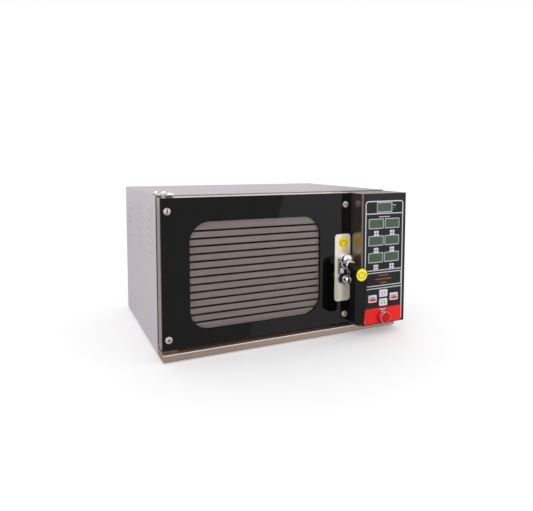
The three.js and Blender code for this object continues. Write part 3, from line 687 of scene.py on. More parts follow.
def reflection_card(name, corners, foot_tone, top_tone):
    """A glowing panel that only reflections see, graded in tone from its foot to its top."""
    deselect()
    bpy.ops.mesh.primitive_plane_add(size=1, location=(0, 0, 0))
    panel = bpy.context.object
    panel.name = name
    for vertex, corner in zip(panel.data.vertices, corners):
        vertex.co = corner
    heights = [corner[2] for corner in corners]
    shader = Shader(name, Base_Color=(0, 0, 0, 1), Specular_IOR_Level=0.0)
    level = shader.node("ShaderNodeSeparateXYZ", values={"Vector": shader.place()}, output="Z")
    values = {"Value": level, "From Min": min(heights), "From Max": max(heights)}
    grade = shader.node("ShaderNodeMapRange", values=values)
    shader.set("Emission Color", shader.mix(grade, (foot_tone,) * 3 + (1,), (top_tone,) * 3 + (1,)))
    shader.surface.inputs["Emission Strength"].default_value = 1.0
    panel.data.materials.append(shader.material)
    panel.visible_camera = False
    panel.visible_diffuse = False
    panel.visible_shadow = False


def make_cards():
    """A dim panel whose slanting edge shows in the door's glass, and bright ones for the metal."""
    y = -1.026
    slanted = [(0.170, y, -0.60), (2.4, y, -0.60), (0.449, y, 0.44), (2.4, y, 0.44)]
    reflection_card("door_card", slanted, 0.42, 0.66)
    bright = [(-1.7, -0.8, 0.45), (-0.9, -1.6, 0.45), (-1.6, -0.7, 1.9), (-0.8, -1.5, 1.9)]
    reflection_card("chrome_card", bright, 1.2, 1.8)
    behind = [(-0.5, 1.6, 0.15), (1.15, 1.6, 0.15), (-0.5, 1.6, 1.1), (1.15, 1.6, 1.1)]
    reflection_card("edge_card", behind, 1.5, 1.0)


# ------------------------------------------------------------------ casing
CASING_HALF = 255 * MM  # half its width without the louvres
CASING_BEND = 2.6 * MM
LOUVRE_ROWS = 7
LOUVRE_PITCH = 15.4 * MM
LOUVRE_LOWEST = 177.6 * MM
LOUVRE_COLUMNS = (-72 * MM, 59 * MM, 185 * MM)
LOUVRE_HALF = 28 * MM
LOUVRE_HEIGHT = 8.2 * MM
LOUVRE_PROUD = 2.9 * MM
SHEET = 1.2 * MM


def louvre_places():
    return [
        (y, LOUVRE_LOWEST + row * LOUVRE_PITCH)
        for y in LOUVRE_COLUMNS for row in range(LOUVRE_ROWS)
    ]


def louvre_hood(side, wall):
    """One pressed hood: a quarter of a flattened ball, open below."""
    deselect()
    bpy.ops.mesh.primitive_uv_sphere_add(
        segments=28, ring_count=14, radius=1, location=(wall, 0, 0),
    )
    hood = bpy.context.object
    hood.scale = (LOUVRE_PROUD, LOUVRE_HALF, LOUVRE_HEIGHT)
    settle(hood, "louvre_hood")
    for normal in ((0, 0, -1), (-side, 0, 0)):
        edit_all()
        bpy.ops.mesh.bisect(plane_co=(wall, 0, 0), plane_no=normal, clear_outer=True)
        leave()
    modify(hood, "SOLIDIFY", thickness=0.8 * MM, offset=-1)
    return hood


def make_casing():
    """One sheet folded over both sides and the top, with rows of pressed louvres."""
    half = CASING_HALF
    high = Vector((half, CASING_HIGH.y, CASING_HIGH.z))
    shell = slab("casing", (-half, CASING_LOW.y, CASING_LOW.z), high)
    pick(shell, "FACE", lambda centre, normal: abs(normal.y) > 0.9 or normal.z < -0.9)
    bpy.ops.mesh.delete(type="FACE")
    leave()
    top = high.z - 0.1 * MM
    rounded(shell, CASING_BEND, 5, lambda a, b: min(a.z, b.z) > top and abs(a.y - b.y) > half)
    modify(shell, "SOLIDIFY", thickness=SHEET, offset=-1)
    slots = []
    reach = LOUVRE_HALF - 3 * MM
    for side in (-1, 1):
        inner, outer = sorted((side * (half - 3 * MM), side * (half + 0.4 * MM)))
        for y, z in louvre_places():
            low_corner = (inner, y - reach, z + 0.2 * MM)
            slots.append(slab("slot", low_corner, (outer, y + reach, z + 4.6 * MM)))
    take_away(shell, joined("slots", slots))
    soften(shell, 0.35 * MM, 2)
    hoods = []
    for side in (-1, 1):
        pattern = louvre_hood(side, side * half)
        hoods += [copied(pattern, (0, y, z)) for y, z in louvre_places()]
        bpy.data.objects.remove(pattern)
    shell = joined("casing_with_louvres", [shell] + hoods)
    painted(shell, "casing_paint")
    fitted(shell, "oven_body", "casing_paint", "outer_casing")


REAR_SCREW_INSET = 9 * MM
REAR_SCREW_RADIUS, REAR_SCREW_HEIGHT = 3.6 * MM, 1.8 * MM


def round_head(name, x, y, z, radius, height, finish):
    """A small pan-head screw with a cross recess, its head towards -y."""
    head = turned(name, x, z, [(radius, y), (radius, y - height * 0.35)]
                  + arc_profile(radius, y - height * 0.35, height * 0.65, 5, 0.3), finish, 28)
    arm, width, deep = radius * 0.55, radius * 0.11, height * 0.5
    front = y - height
    return take_away(
        head,
        slab("cross", (x - arm, front - deep, z - width), (x + arm, front + deep, z + width)),
        slab("cross", (x - width, front - deep, z - arm), (x + width, front + deep, z + arm)),
    )


def make_rear():
    """Rear panel, its fixing screws and what shows through its slots."""
    refined("rear_panel", "oven_body", "casing_paint", "casing_paint", 0.3)
    low, high, centre = extent("rear_panel")
    left, right = low.x + REAR_SCREW_INSET, high.x - REAR_SCREW_INSET
    foot, top = low.z + REAR_SCREW_INSET, high.z - REAR_SCREW_INSET
    places = [(x, z) for x in (left, right) for z in (foot, centre.z, top)]
    places += [(0, foot), (0, top)]
    heads = []
    for x, z in places:
        head = round_head("rear_screw", -x, -high.y, z, REAR_SCREW_RADIUS, REAR_SCREW_HEIGHT,
                          "bright_steel")
        head.data.transform(Matrix.Rotation(math.pi, 4, "Z"))
        heads.append(head)
    fitted(joined("rear_screws", heads), "oven_body", "pale_stainless")
    refined_all((
        ("mains_inlet", "oven_body", "black_plastic", "black_plastic", 0.6, 3),
        ("cooling_fan_frame", "oven_body", "black_plastic", "black_plastic", 0.5),
        ("cooling_fan_rotor", "cooling_fan_rotor", "black_plastic", "black_plastic", 0.3),
    ))


# ------------------------------------------------------------------ sill, feet and hinges
def make_base():
    """The sill with a pale strip along its upper edge as a painted highlight and a dark strip along
    its lower bend as painted shade, the pan and the feet.
    """
    refined("front_sill", "oven_body", "sill_stainless", "sill_steel", 0.6, 3)
    low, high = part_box("front_sill")
    # Two strips on the sill's front: pale steel along the top edge paints its highlight, and dark
    # steel along the foot paints the shade under the bend.
    for name, foot, height, finish in (
        ("sill_painted_highlight", high.z - 1.7 * MM, 1.8 * MM, "pale_steel"),
        ("sill_painted_shade", low.z - 0.1 * MM, 1.1 * MM, "box_steel"),
    ):
        strip = slab(name, (low.x, low.y - 0.12 * MM, foot),
                     (high.x, low.y + 0.6 * MM, foot + height))
        soften(strip, 0.3 * MM, 2)
        fitted(painted(strip, finish), "oven_body", "sill_stainless")
    refined("base_pan", "oven_body", "galvanised_steel", "zinc", 0.4)
    for number in range(1, 5):
        node = f"foot_{number}"
        low, high, centre = extent(node)
        radius = (high.x - low.x) / 2
        pad = turned(node + "_pad", centre.x, 0, [
            (radius * 0.9, -high.z + 0.05 * MM), (radius, -high.z + 0.5 * MM),
            (radius, -low.z - 0.6 * MM), (radius * 0.95, -low.z - 0.15 * MM),
            (radius * 0.6, -low.z),
        ], "foot_rubber", 40)
        fitted(upright(pad, centre.y), "oven_body", "seal_rubber", node)


def make_hinges():
    """Top bracket, the pin's domed head, and the lower bracket."""
    refined("hinge_bracket_top", "oven_body", "pale_stainless", "bright_steel", 0.6, 3)
    low, high, centre = extent("hinge_pin_top")
    radius, shank = (high.x - low.x) / 2, 4 * MM
    seat = high.z - 3.4 * MM
    rim = seat + 1.4 * MM
    pin = turned("hinge_pin_head", centre.x, 0, [
        (shank, -low.z), (shank, -seat), (radius, -seat), (radius, -rim),
    ] + arc_profile(radius, -rim, high.z - rim, 6, 0.2), "bright_steel", 36)
    fitted(upright(pin, centre.y), "oven_body", "pale_stainless", "hinge_pin_top")
    refined("hinge_bracket_bottom", "oven_body", "pale_stainless", "box_steel", 0.5)


# ------------------------------------------------------------------ door
def stadium(name, x, z, width, height, back, front):
    """An upright bar with round ends, from back to front along y."""
    sides = 48
    piece = flat_disc(name, x, back, z, width / 2, sides, math.pi / sides)
    for way in (1, -1):
        pick(piece, "VERT", lambda place: (place.z - z) * way > 0)
        bpy.ops.transform.translate(value=(0, 0, way * (height - width) / 2))
        leave()
    edit_all()
    push(front - back)
    return piece


GRILLE_GAPS = 13
GAP_PITCH = 14.2 * MM
GAP_TOP = 235.3 * MM
GAP_HEIGHT = 3.7 * MM
GAP_MARGIN = 4 * MM  # how far a gap runs past the clear window
GRILLE_CORNER = 24 * MM


def make_grille():
    """Fourteen slats of one pressed sheet, with the gaps between them cut right through."""
    sheet = slab("slatted_sheet", GRILLE_LOW, GRILLE_HIGH)
    rounded(sheet, GRILLE_CORNER, 8, along_y)
    gaps = []
    for row in range(GRILLE_GAPS):
        z = GAP_TOP - row * GAP_PITCH
        low = (WINDOW_LOW.x - GAP_MARGIN, GRILLE_LOW.y - MM, z - GAP_HEIGHT / 2)
        high = (WINDOW_HIGH.x + GAP_MARGIN, GRILLE_HIGH.y + MM, z + GAP_HEIGHT / 2)
        gaps.append(slab("gap", low, high))
    take_away(sheet, joined("gaps", gaps))
    soften(sheet, 0.25 * MM, 2)
    painted(sheet, "slat_steel")
    fitted(sheet, "door", "brushed_stainless", "window_grille")


SCREW_TURNS = {1: 78, 2: -18, 3: None, 4: 52}  # slot angles in degrees; None has a cross recess


def make_screws():
    """Four wide, shallow, domed screws, each in a dark ring on the glass."""
    for number, turn in SCREW_TURNS.items():
        node = f"door_screw_{number}"
        low, high, centre = extent(node)
        radius, rim, shank = (high.x - low.x) / 2, GLASS_LOW.y, 1.6 * MM
        head = turned(node + "_head", centre.x, centre.z, [
            (shank, high.y), (shank, rim - 0.1 * MM), (radius, rim - 0.1 * MM),
            (radius, rim - 1.5 * MM), (radius * 0.93, rim - 2.3 * MM),
            (radius * 0.78, rim - 2.9 * MM), (radius * 0.5, rim - 3.3 * MM),
            (radius * 0.2, low.y), (radius * 0.04, low.y),
        ], "screw_steel")
        reach, width, deep = radius * 0.86, 0.95 * MM, 1.7 * MM
        cutters = []
        for angle in ([turn] if turn is not None else [0, 90]):
            size = reach if turn is not None else reach * 0.55
            cutter = slab("slot", (-size, low.y - MM, -width), (size, low.y + deep, width))
            cutter.data.transform(Matrix.Translation((centre.x, 0, centre.z))
                                  @ Matrix.Rotation(math.radians(-angle), 4, "Y"))
            cutters.append(painted(cutter, "slot_shadow"))
        take_away(head, *cutters)
        washer = turned("screw_ring", centre.x, centre.z,
                        [(radius + 0.9 * MM, rim + 0.02 * MM), (radius + 0.7 * MM, rim - 0.3 * MM)],
                        "black_plastic")
        fitted(joined(node + "_with_ring", [head, washer]), "door", "pale_stainless", node)


def arc_mark(name, x, z, radius, line, kept, front, finish):
    """Part of a printed circle: kept says which angles, in degrees from the right, stay."""
    piece = flat_disc(name, x, front, z, radius, 48)
    edit_all()
    bpy.ops.mesh.inset(thickness=line, depth=0)
    leave()

    def unwanted(centre, _normal):
        out = math.hypot(centre.x - x, centre.z - z)
        turn = math.degrees(math.atan2(centre.z - z, centre.x - x)) % 360
        return out < radius - 2 * line or not kept[0] <= turn <= kept[1]

    pick(piece, "FACE", unwanted)
    bpy.ops.mesh.delete(type="FACE")
    push(-THIN_PRINT)
    return painted(piece, finish)


def arrow_tip(name, x, z, size, turn, front, finish):
    """A small printed triangle that points along an angle in degrees from the right."""
    piece = flat_disc(name, x, front, z, size, 3, math.radians(90 - turn))
    edit_all()
    push(-THIN_PRINT)
    return painted(piece, finish)


def turn_label(name, x, z, radius, back):
    """A round yellow label with a green and a red turning arrow round two plain bars."""
    face = back - 0.25 * MM
    reach, line, tip, bar = radius * 0.66, radius * 0.13, radius * 0.195, radius * 0.09
    green, red = "label_green", "label_red"
    return joined(name, [
        turned(name, x, z, [(radius, back), (radius, face)], "label_yellow"),
        arc_mark("green_arc", x, z, reach, line, (170, 262), face, green),
        arc_mark("red_arc", x, z, reach, line, (284, 358), face, red),
        arrow_tip("green_tip", x - reach * 0.93, z + reach * 0.3, tip, 95, face, green),
        arrow_tip("red_tip", x + reach * 0.93, z + reach * 0.16, tip, 85, face, red),
        card("upper_bar", x, z + radius * 0.34, radius * 0.72, bar, 0, face, THIN_PRINT, green),
        card("lower_bar", x, z + radius * 0.12, radius * 0.4, bar, 0, face, THIN_PRINT, green),
    ])


STUD_RADIUS = 8.4 * MM
PLATE_LABEL = (123 * MM, 194 * MM)  # x and z of its centre
PLATE_LABEL_RADIUS = 12.4 * MM
GRIP_LABEL = (127.3 * MM, 138 * MM)
GRIP_LABEL_RADIUS = 12.5 * MM
LABEL_SEAT_RADIUS = 13.6 * MM


def make_latch():
    """Plate, raised escutcheon, chrome stud in its black collar, and the plate's label."""
    refined("latch_plate", "door", "pale_stainless", "pale_steel", 0.5, 3)
    x = (SCUTCHEON_LOW.x + SCUTCHEON_HIGH.x) / 2
    z = (SCUTCHEON_LOW.z + SCUTCHEON_HIGH.z) / 2
    width, height = SCUTCHEON_HIGH.x - SCUTCHEON_LOW.x, SCUTCHEON_HIGH.z - SCUTCHEON_LOW.z
    back, front = SCUTCHEON_HIGH.y, SCUTCHEON_LOW.y
    plate = stadium("escutcheon", x, z, width, height, back + 0.2 * MM, front + 0.9 * MM)
    pick(plate, "FACE", lambda centre, normal: normal.y < -0.9)
    bpy.ops.mesh.inset(thickness=1.6 * MM, depth=0)
    bpy.ops.mesh.extrude_region_move(TRANSFORM_OT_translate={"value": (0, -0.9 * MM, 0)})
    bpy.ops.mesh.inset(thickness=2.2 * MM, depth=0)
    bpy.ops.mesh.extrude_region_move(TRANSFORM_OT_translate={"value": (0, 1.3 * MM, 0)})
    leave()
    soften(plate, 0.45 * MM, 3)
    painted(plate, "chrome")
    fitted(plate, "door", "chrome_plate", "latch_escutcheon")

    low, high, centre = extent("latch_stud")
    collar = high.y - 4 * MM
    wide = (high.x - low.x) / 2
    foot = turned("stud_collar", centre.x, centre.z, [
        (wide - 0.3 * MM, high.y), (wide - 0.3 * MM, collar + 0.8 * MM), (wide - 1.0 * MM, collar),
        (wide - 3.4 * MM, collar), (wide - 3.4 * MM, collar - 2.6 * MM),
    ], "grip_plastic")
    knob, shoulder = STUD_RADIUS, low.y + 6.5 * MM
    dome = turned("stud_dome", centre.x, centre.z, [
        (knob - 1.5 * MM, collar - 2 * MM), (knob - 0.3 * MM, collar - 2.8 * MM),
        (knob, collar - 4.4 * MM), (knob, shoulder),
    ] + arc_profile(knob, shoulder, shoulder - low.y, 8, 0.1), "chrome")
    fitted(joined("latch_stud_domed", [foot, dome]), "door", "chrome_plate", "latch_stud")

    label = turn_label("plate_label", *PLATE_LABEL, PLATE_LABEL_RADIUS, PLATE_LOW.y)
    fitted(label, "door", "sticker_yellow")


def make_handle():
    """Chrome hub with a lower lip, the cam behind it, and the moulded grip with its label."""
    low, high, centre = extent("handle_hub")
    wide = (high.x - low.x) / 2
    seat = low.y + 23.7 * MM
    collar, dome_height = seat - 3.2 * MM, 9.5 * MM
    hub = turned("hub", centre.x, centre.z, [
        (6 * MM, high.y), (6 * MM, seat), (wide - 1.4 * MM, seat),
        (wide - 1.4 * MM, collar), (wide, collar - 1.0 * MM), (wide, collar - 4.5 * MM),
        (wide - 0.8 * MM, collar - 5.2 * MM), (wide - 0.8 * MM, collar - 6.0 * MM),
        (wide - 0.1 * MM, collar - 6.8 * MM), (wide, low.y + dome_height),
    ] + arc_profile(wide, low.y + dome_height, dome_height, 12, 0.08), "chrome", 64)
    lip_x, lip_z = centre.x + 1.5 * MM, centre.z - 11 * MM
    lip = turned("hub_lip", lip_x, lip_z, [
        (9 * MM, seat - 2 * MM), (11.2 * MM, seat - 4 * MM), (11.8 * MM, low.y + 6 * MM),
        (11.4 * MM, low.y + 0.5 * MM), (10.8 * MM, low.y - 1.2 * MM), (9.8 * MM, low.y - 2.0 * MM),
    ], "chrome", 56)
    fitted(joined("hub_with_lip", [hub, lip]), "handle", "chrome_plate", "handle_hub")
    refined("latch_cam", "handle", "chrome_plate", "chrome", 0.4)
    refined("handle_grip", "handle", "black_plastic", "grip_plastic", 1.1, 3)
    front, face = GRIP_LOW.y, GRIP_LOW.y - 0.4 * MM
    seat = turned("label_seat", *GRIP_LABEL, [
        (LABEL_SEAT_RADIUS, front + 0.4 * MM), (LABEL_SEAT_RADIUS, front - 0.15 * MM),
        (LABEL_SEAT_RADIUS - 0.3 * MM, face),
    ], "dark_ink")
    label = turn_label("grip_label", *GRIP_LABEL, GRIP_LABEL_RADIUS, face)
    fitted(joined("grip_label", [label, seat]), "handle", "sticker_yellow")


def make_door():
    """The tray with a dark rubber strip along its left edge that paints the shade by the frame, the
    panes, grille, screws and latch.
    """
    low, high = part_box("door_shell")
    # A thin dark strip on the door's left wall paints the shade in the gap between the door and the
    # frame.
    edge = slab("door_edge_painted_shade", (low.x - 0.1 * MM, high.y - 9.5 * MM, low.z + MM),
                (low.x + 0.6 * MM, high.y - 0.2 * MM, high.z - MM))
    soften(edge, 0.08 * MM, 2)
    fitted(painted(edge, "seal_rubber"), "door", "seal_rubber")
    refined("door_shell", "door", "brushed_stainless", "door_steel", 0.5)
    refined("door_glass_outer", "door", "black_print_glass", "door_glass", 0.35, 2)
    make_grille()
    refined("door_glass_inner", "door", "clear_glass", "clear_pane", 0.4)
    refined("door_seal", "door", "seal_rubber", "seal_rubber", 0.5, 3)
    make_screws()
    make_latch()


# ------------------------------------------------------------------ control box
PANEL_X = 199.4 * MM
FRAME_LEFT, FRAME_RIGHT = 152 * MM, 248 * MM
FRAME_TOP, FRAME_FOOT = 282.3 * MM, 24 * MM
FRAME_LINE = 2.3 * MM
INNER_LEFT, INNER_RIGHT = 154.2 * MM, 246.4 * MM
DISPLAY_Z = 268.5 * MM
COLUMNS = (PANEL_X - 20.2 * MM, PANEL_X + 20.2 * MM)
TIMER_ROWS = (234.6 * MM, 199.1 * MM, 163.6 * MM)
TIMER_SIZE = (34.6 * MM, 18.2 * MM)
KEY_DROP = 19.8 * MM
LEGEND_LOW, LEGEND_HIGH = 102.8 * MM, 132.3 * MM
RED_TOP = 56.3 * MM
RULES = (("display_rule", 255.5 * MM, 1.9 * MM), ("upper_rule", 136.7 * MM, 1.8 * MM),
         ("lower_rule", 98.2 * MM, 1.8 * MM))  # name, height above the floor and thickness
WAVES = ((125.4 * MM, 24 * MM), (117.5 * MM, 40 * MM), (109.6 * MM, 16 * MM))  # z and width


def rule(name, left, right, z, height, front, finish="silver_ink"):
    return card(name, (left + right) / 2, z, right - left, height, 0, front, finish=finish)


def dashes(name, count, left, pitch, width, z, height, front):
    """A row of short white bars that stands for a printed word."""
    return [
        rule(name, left + step * pitch, left + step * pitch + width, z, height, front, "white_ink")
        for step in range(count)
    ]


def make_fascia_print():
    """Everything printed on the film: border, rules, surrounds, motif and the red field."""
    centre = (FRAME_LEFT + FRAME_RIGHT) / 2
    wide, tall = FRAME_RIGHT - FRAME_LEFT, FRAME_TOP - FRAME_FOOT
    prints = [
        ring("border", centre, FRAME_FOOT + tall / 2, wide, tall, 7 * MM, FRAME_LINE),
        ring("legend_border", centre, (LEGEND_LOW + LEGEND_HIGH) / 2, INNER_RIGHT - INNER_LEFT,
             LEGEND_HIGH - LEGEND_LOW, 5 * MM, 1.8 * MM),
        ring("display_surround", PANEL_X + 0.3 * MM, DISPLAY_Z, 38.6 * MM, 21.2 * MM, 1.6 * MM,
             1.5 * MM),
        rule("upper_mark", 222 * MM, 228 * MM, 272.4 * MM, 1.5 * MM, FACE, "white_ink"),
        rule("lower_mark", 222 * MM, 227 * MM, 266.4 * MM, 1.2 * MM, FACE, "grey_ink"),
    ]
    prints += [rule(name, INNER_LEFT, INNER_RIGHT, z, thick, FACE) for name, z, thick in RULES]
    prints += dashes("heading_dash", 6, 186.4 * MM, 4.6 * MM, 3.2 * MM, 248.7 * MM, 1.7 * MM, FACE)
    for x in COLUMNS:
        for z in TIMER_ROWS:
            wide_ring, tall_ring = TIMER_SIZE[0] + 2.6 * MM, TIMER_SIZE[1] + 2.6 * MM
            prints.append(ring("timer_surround", x, z, wide_ring, tall_ring, 1.6 * MM, 1.4 * MM))
            top, foot = z - TIMER_SIZE[1] / 2 - 1.2 * MM, z - KEY_DROP + 5 * MM
            prints.append(card("link", x, (top + foot) / 2, 1.2 * MM, top - foot, 0, FACE,
                               finish="grey_ink"))
    prints += [heat_wave(PANEL_X, z, width) for z, width in WAVES]
    red_tall, red_thick = RED_TOP - FRAME_FOOT, 0.2 * MM
    red = card("red_field", centre - 0.2 * MM, FRAME_FOOT + red_tall / 2, wide - 2.4 * MM, red_tall,
               0, FACE, red_thick, "red_ink")
    corner = Vector((FRAME_RIGHT - 1.4 * MM, FRAME_FOOT))
    rounded(red, 6 * MM, 6, lambda a, b: all((p.xz - corner).length < MM for p in (a, b)))
    prints.append(red)
    prints += dashes("switch_dash", 3, 192 * MM, 5.0 * MM, 3.8 * MM, 52.6 * MM, 2.0 * MM,
                     FACE - red_thick)
    return joined("fascia_print", prints)


def heat_wave(x, z, width):
    """A printed amber ripple, as a plain sign of warm air."""
    step, swing, line, ripple = 1.0 * MM, 1.1 * MM, 1.5 * MM, 8 * MM
    start = x - width / 2

    def level(number):
        return swing * math.sin(number * step / ripple * 2 * math.pi)

    wave = flat_sheet("heat_wave", start, FACE, z, step, line)
    pick(wave, "EDGE", lambda a, b: min(a.x, b.x) > start + step * 0.4)
    for number in range(round(width / step)):
        rise = level(number + 1) - level(number)
        bpy.ops.mesh.extrude_region_move(TRANSFORM_OT_translate={"value": (step, 0, rise)})
    push(-PRINT_THICK)
    return painted(wave, "amber_ink")


def digit_segments(x, z, front):
    """Three unlit figures of seven bars each: three level bars and four upright ones."""
    thick, tall, ghost = 1.0 * MM, 4.8 * MM, "display_ghost"
    bars = []
    for middle_x in (x - 10.2 * MM, x, x + 10.2 * MM):
        for rise in (-6.3 * MM, 0, 6.3 * MM):
            left, right = middle_x - tall / 2, middle_x + tall / 2
            bars.append(rule("bar", left, right, z + rise, thick, front, ghost))
        for aside in (-3.0 * MM, 3.0 * MM):
            for rise in (-3.15 * MM, 3.15 * MM):
                bars.append(card("bar", middle_x + aside, z + rise, thick, tall, 0, front,
                                 finish=ghost))
    return bars


def make_displays():
    """The green windows of the displays, with unlit figures in them."""
    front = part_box("main_display")[0].y
    refined("main_display", "oven_body", "display_film", "display_filter", 0.25)
    bars = digit_segments(PANEL_X, DISPLAY_Z, front)
    for x in COLUMNS:
        for z in TIMER_ROWS:
            bars += digit_segments(x, z, front)
    refined("timer_displays", "oven_body", "display_film", "display_filter", 0.25)
    fitted(joined("unlit_figures", bars), "oven_body", "display_film")


def key_cap(node):
    """A moulded key: rounded corners, then a softened front edge."""
    cap = slab(node + "_cap", *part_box(node))
    rounded(cap, 2.2 * MM, 4, along_y)
    soften(cap, 0.35 * MM, 2)
    return painted(cap, "key_white")


def make_timer_keys():
    """Each small key is a dark base with four white pads."""
    gap, relief = 0.65 * MM, 0.5 * MM
    for number in range(1, 7):
        node = f"timer_key_{number}"
        low, high, centre = extent(node)
        base = slab(node + "_base", (low.x, low.y + relief, low.z), high)
        painted(base, "dark_ink")
        pads = []
        for left, right in ((low.x, centre.x - gap), (centre.x + gap, high.x)):
            for foot, top in ((low.z, centre.z - gap), (centre.z + gap, high.z)):
                pad = slab("pad", (left, low.y, foot), (right, low.y + relief * 1.2, top))
                rounded(pad, 0.7 * MM, 3, along_y)
                soften(pad, 0.15 * MM, 2)
                pads.append(painted(pad, "key_white"))
        fitted(joined(node + "_pads", [base] + pads), node, "white_key", node)


def make_pad_keys():
    """Left and right keys carry a red bar, and up and down keys a pair of arrows and a dash."""
    for node in ("key_left", "key_right"):
        low, _, centre = extent(node)
        grey = card("bar", centre.x, centre.z + 2.2 * MM, 14 * MM, 2.6 * MM, 0.4 * MM, low.y,
                    THIN_PRINT, "grey_ink")
        red = card("bar", centre.x, centre.z - 2.6 * MM, 16.4 * MM, 5.2 * MM, 2.0 * MM, low.y,
                   THIN_PRINT, "red_ink")
        fitted(joined(node + "_printed", [key_cap(node), grey, red]), node, "white_key", node)
    for node, way, rise in (("key_up", 90, 1.6 * MM), ("key_down", 270, -1.6 * MM)):
        low, _, centre = extent(node)
        marks = [
            arrow_tip("arrow", centre.x + aside, centre.z + rise, 2.3 * MM, way, low.y, "dark_ink")
            for aside in (-3.6 * MM, 3.6 * MM)
        ]
        marks.append(card("dash", centre.x, centre.z - 2.2 * rise, 13 * MM, 0.9 * MM, 0, low.y,
                          THIN_PRINT, "grey_ink"))
        fitted(joined(node + "_printed", [key_cap(node)] + marks), node, "white_key", node)


def bored(piece, centre, radius):
    """Cuts a hole right through along y."""
    deselect()
    bpy.ops.mesh.primitive_cylinder_add(
        vertices=64, radius=radius, depth=80 * MM, location=centre, rotation=(math.pi / 2, 0, 0),
    )
    return take_away(piece, settle(bpy.context.object, "bore"))


POWER_COLLAR = 11.4 * MM
POWER_BARREL = 11 * MM
POWER_CAP = 10.8 * MM


def make_power_button():
    """A black gasket, a thin chrome ring and the wide red cap with a concentric ridge."""
    low, high, centre = extent("power_button_bezel")
    radius, front = (high.x - low.x) / 2, low.y
    barrel = turned("power_barrel", centre.x, centre.z,
                    [(POWER_BARREL, high.y), (POWER_BARREL, FACE + 0.2 * MM)],
                    "black_plastic", 64)
    bored(barrel, centre, 10 * MM)
    bezel = turned("power_ring", centre.x, centre.z, [
        (radius, FACE - 0.3 * MM), (radius, FACE - 3.0 * MM), (radius - 0.5 * MM, FACE - 4.0 * MM),
        (radius - 0.5 * MM, front + 1.4 * MM), (radius - 0.7 * MM, front + 0.5 * MM),
        (radius - 1.1 * MM, front),
    ], "chrome", 64)
    bored(bezel, centre, POWER_COLLAR)
    gasket = turned("gasket", centre.x, centre.z, [
        (radius + 1.1 * MM, FACE - 0.05 * MM), (radius + 1.1 * MM, FACE - 0.9 * MM),
        (radius + 0.7 * MM, FACE - 1.3 * MM),
    ], "grip_plastic", 64)
    bored(gasket, centre, radius - 0.2 * MM)
    fitted(joined("power_ring_with_gasket", [bezel, gasket, barrel]), "oven_body", "chrome_plate",
           "power_button_bezel")

    low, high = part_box("power_button")
    front = low.y
    head = front + 7 * MM
    cap = turned("power_cap", centre.x, centre.z, [
        (8 * MM, high.y), (8 * MM, head), (POWER_CAP, head), (POWER_CAP, front + 2.0 * MM),
        (POWER_CAP - 0.5 * MM, front + 0.7 * MM), (POWER_CAP - 1.5 * MM, front),
        (POWER_CAP - 2.4 * MM, front + 0.05 * MM), (POWER_CAP - 2.9 * MM, front + 0.6 * MM),
        (POWER_CAP - 3.8 * MM, front + 0.6 * MM), (POWER_CAP - 4.4 * MM, front + 0.25 * MM),
        (3.0 * MM, front + 0.12 * MM), (0.6 * MM, front + 0.1 * MM),
    ], "red_cap", 64)
    fitted(cap, "power_button", "red_cap", "power_button")


def make_control_box():
    """The steel box, its printed film, displays, keys and push-button, and what is inside."""
    refined("control_housing", "oven_body", "brushed_stainless", "box_steel", 0.5)
    refined("control_fascia", "oven_body", "fascia_film", "fascia_film", 0.3)
    fitted(make_fascia_print(), "oven_body", "fascia_film")
    make_displays()
    make_timer_keys()
    make_pad_keys()
    make_power_button()
    refined("control_board", "oven_body", "board_green", "circuit_mask", 0.3)
    refined("relay_heatsink", "oven_body", "sink_aluminium", "aluminium", 0.3)


# ------------------------------------------------------------------ inside of the oven
RACK_BAR = 2.0 * MM  # radius of the rack's rim
RACK_WIRE = 1.5 * MM
RACK_WIRES = 15


def rod(name, start, end, radius, sides=16):
    """A straight round bar between two points, with its ends slightly rounded."""
    start, end = Vector(start), Vector(end)
    along = end - start
    deselect()
    bpy.ops.mesh.primitive_cylinder_add(
        vertices=sides, radius=radius, depth=along.length, location=(start + end) / 2,
        rotation=along.to_track_quat("Z", "Y").to_euler(),
    )
    bar = settle(bpy.context.object, name)
    return soften(bar, radius * 0.4, 2, math.radians(60))


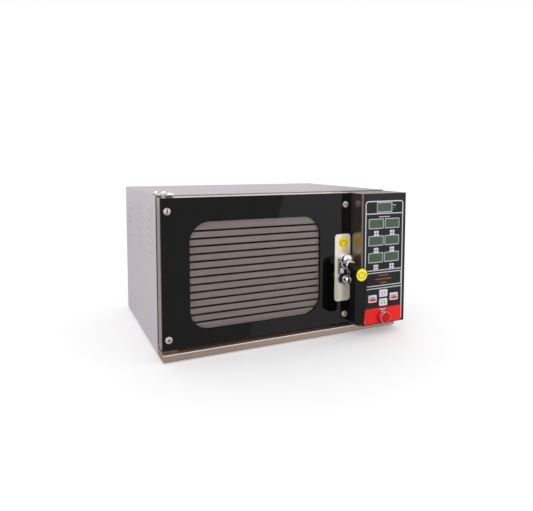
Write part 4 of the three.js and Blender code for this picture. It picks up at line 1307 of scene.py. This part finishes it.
def make_rack():
    """Round chromed rods: a rim, the wires across it and one stay below them."""
    low, high = RACK_LOW, RACK_HIGH
    z = (low.z + high.z) / 2
    left, right = low.x + RACK_BAR, high.x - RACK_BAR
    front, back = low.y + RACK_BAR, high.y - RACK_BAR
    rods = [
        rod("rim", (left, front, z), (right, front, z), RACK_BAR),
        rod("rim", (left, back, z), (right, back, z), RACK_BAR),
        rod("rim", (left, front, z), (left, back, z), RACK_BAR),
        rod("rim", (right, front, z), (right, back, z), RACK_BAR),
    ]
    pitch = (right - left) / (RACK_WIRES + 1)
    for number in range(1, RACK_WIRES + 1):
        x = left + number * pitch
        rods.append(rod("wire", (x, front, z + 0.4 * MM), (x, back, z + 0.4 * MM), RACK_WIRE, 12))
    rods.append(rod("stay", (left, (front + back) / 2, low.z + RACK_WIRE),
                    (right, (front + back) / 2, low.z + RACK_WIRE), RACK_WIRE, 12))
    rack = joined("rack_of_rods", rods)
    painted(rack, "chrome")
    fitted(rack, "wire_rack", "chrome_plate", "wire_rack")


INSIDE = (
    ("front_frame", "oven_body", "brushed_stainless", "frame_steel", 0.5),
    ("cavity_liner", "oven_body", "brushed_stainless", "frame_steel", 0.5),
    ("rack_guide_left", "oven_body", "brushed_stainless", "frame_steel", 0.3),
    ("rack_guide_right", "oven_body", "brushed_stainless", "frame_steel", 0.3),
    ("fan_baffle", "oven_body", "brushed_stainless", "frame_steel", 0.4),
    ("latch_strike", "oven_body", "pale_stainless", "bright_steel", 0.4),
    ("temperature_probe", "oven_body", "chrome_plate", "chrome", 0.3),
    ("heating_element", "oven_body", "galvanised_steel", "zinc", 0),
    ("fan_wheel", "fan_wheel", "galvanised_steel", "zinc", 0.25),
    ("fan_motor", "oven_body", "galvanised_steel", "zinc", 0.5),
    ("partition_wall", "oven_body", "galvanised_steel", "zinc", 0.3),
    ("insulation_wrap", "oven_body", "insulation_wool", "wool", 0.6),
)  # node, body, slot, finish and the rounding of its edges in mm


def make_inside():
    """Everything behind the door and between the cavity and the casing."""
    refined_all(INSIDE)
    make_rack()


make_camera()
make_floor()
make_world()
make_lights()
make_cards()
make_casing()
make_rear()
make_base()
make_hinges()
make_door()
make_handle()
make_control_box()
make_inside()
bpy.context.scene.view_settings.view_transform = "Standard"
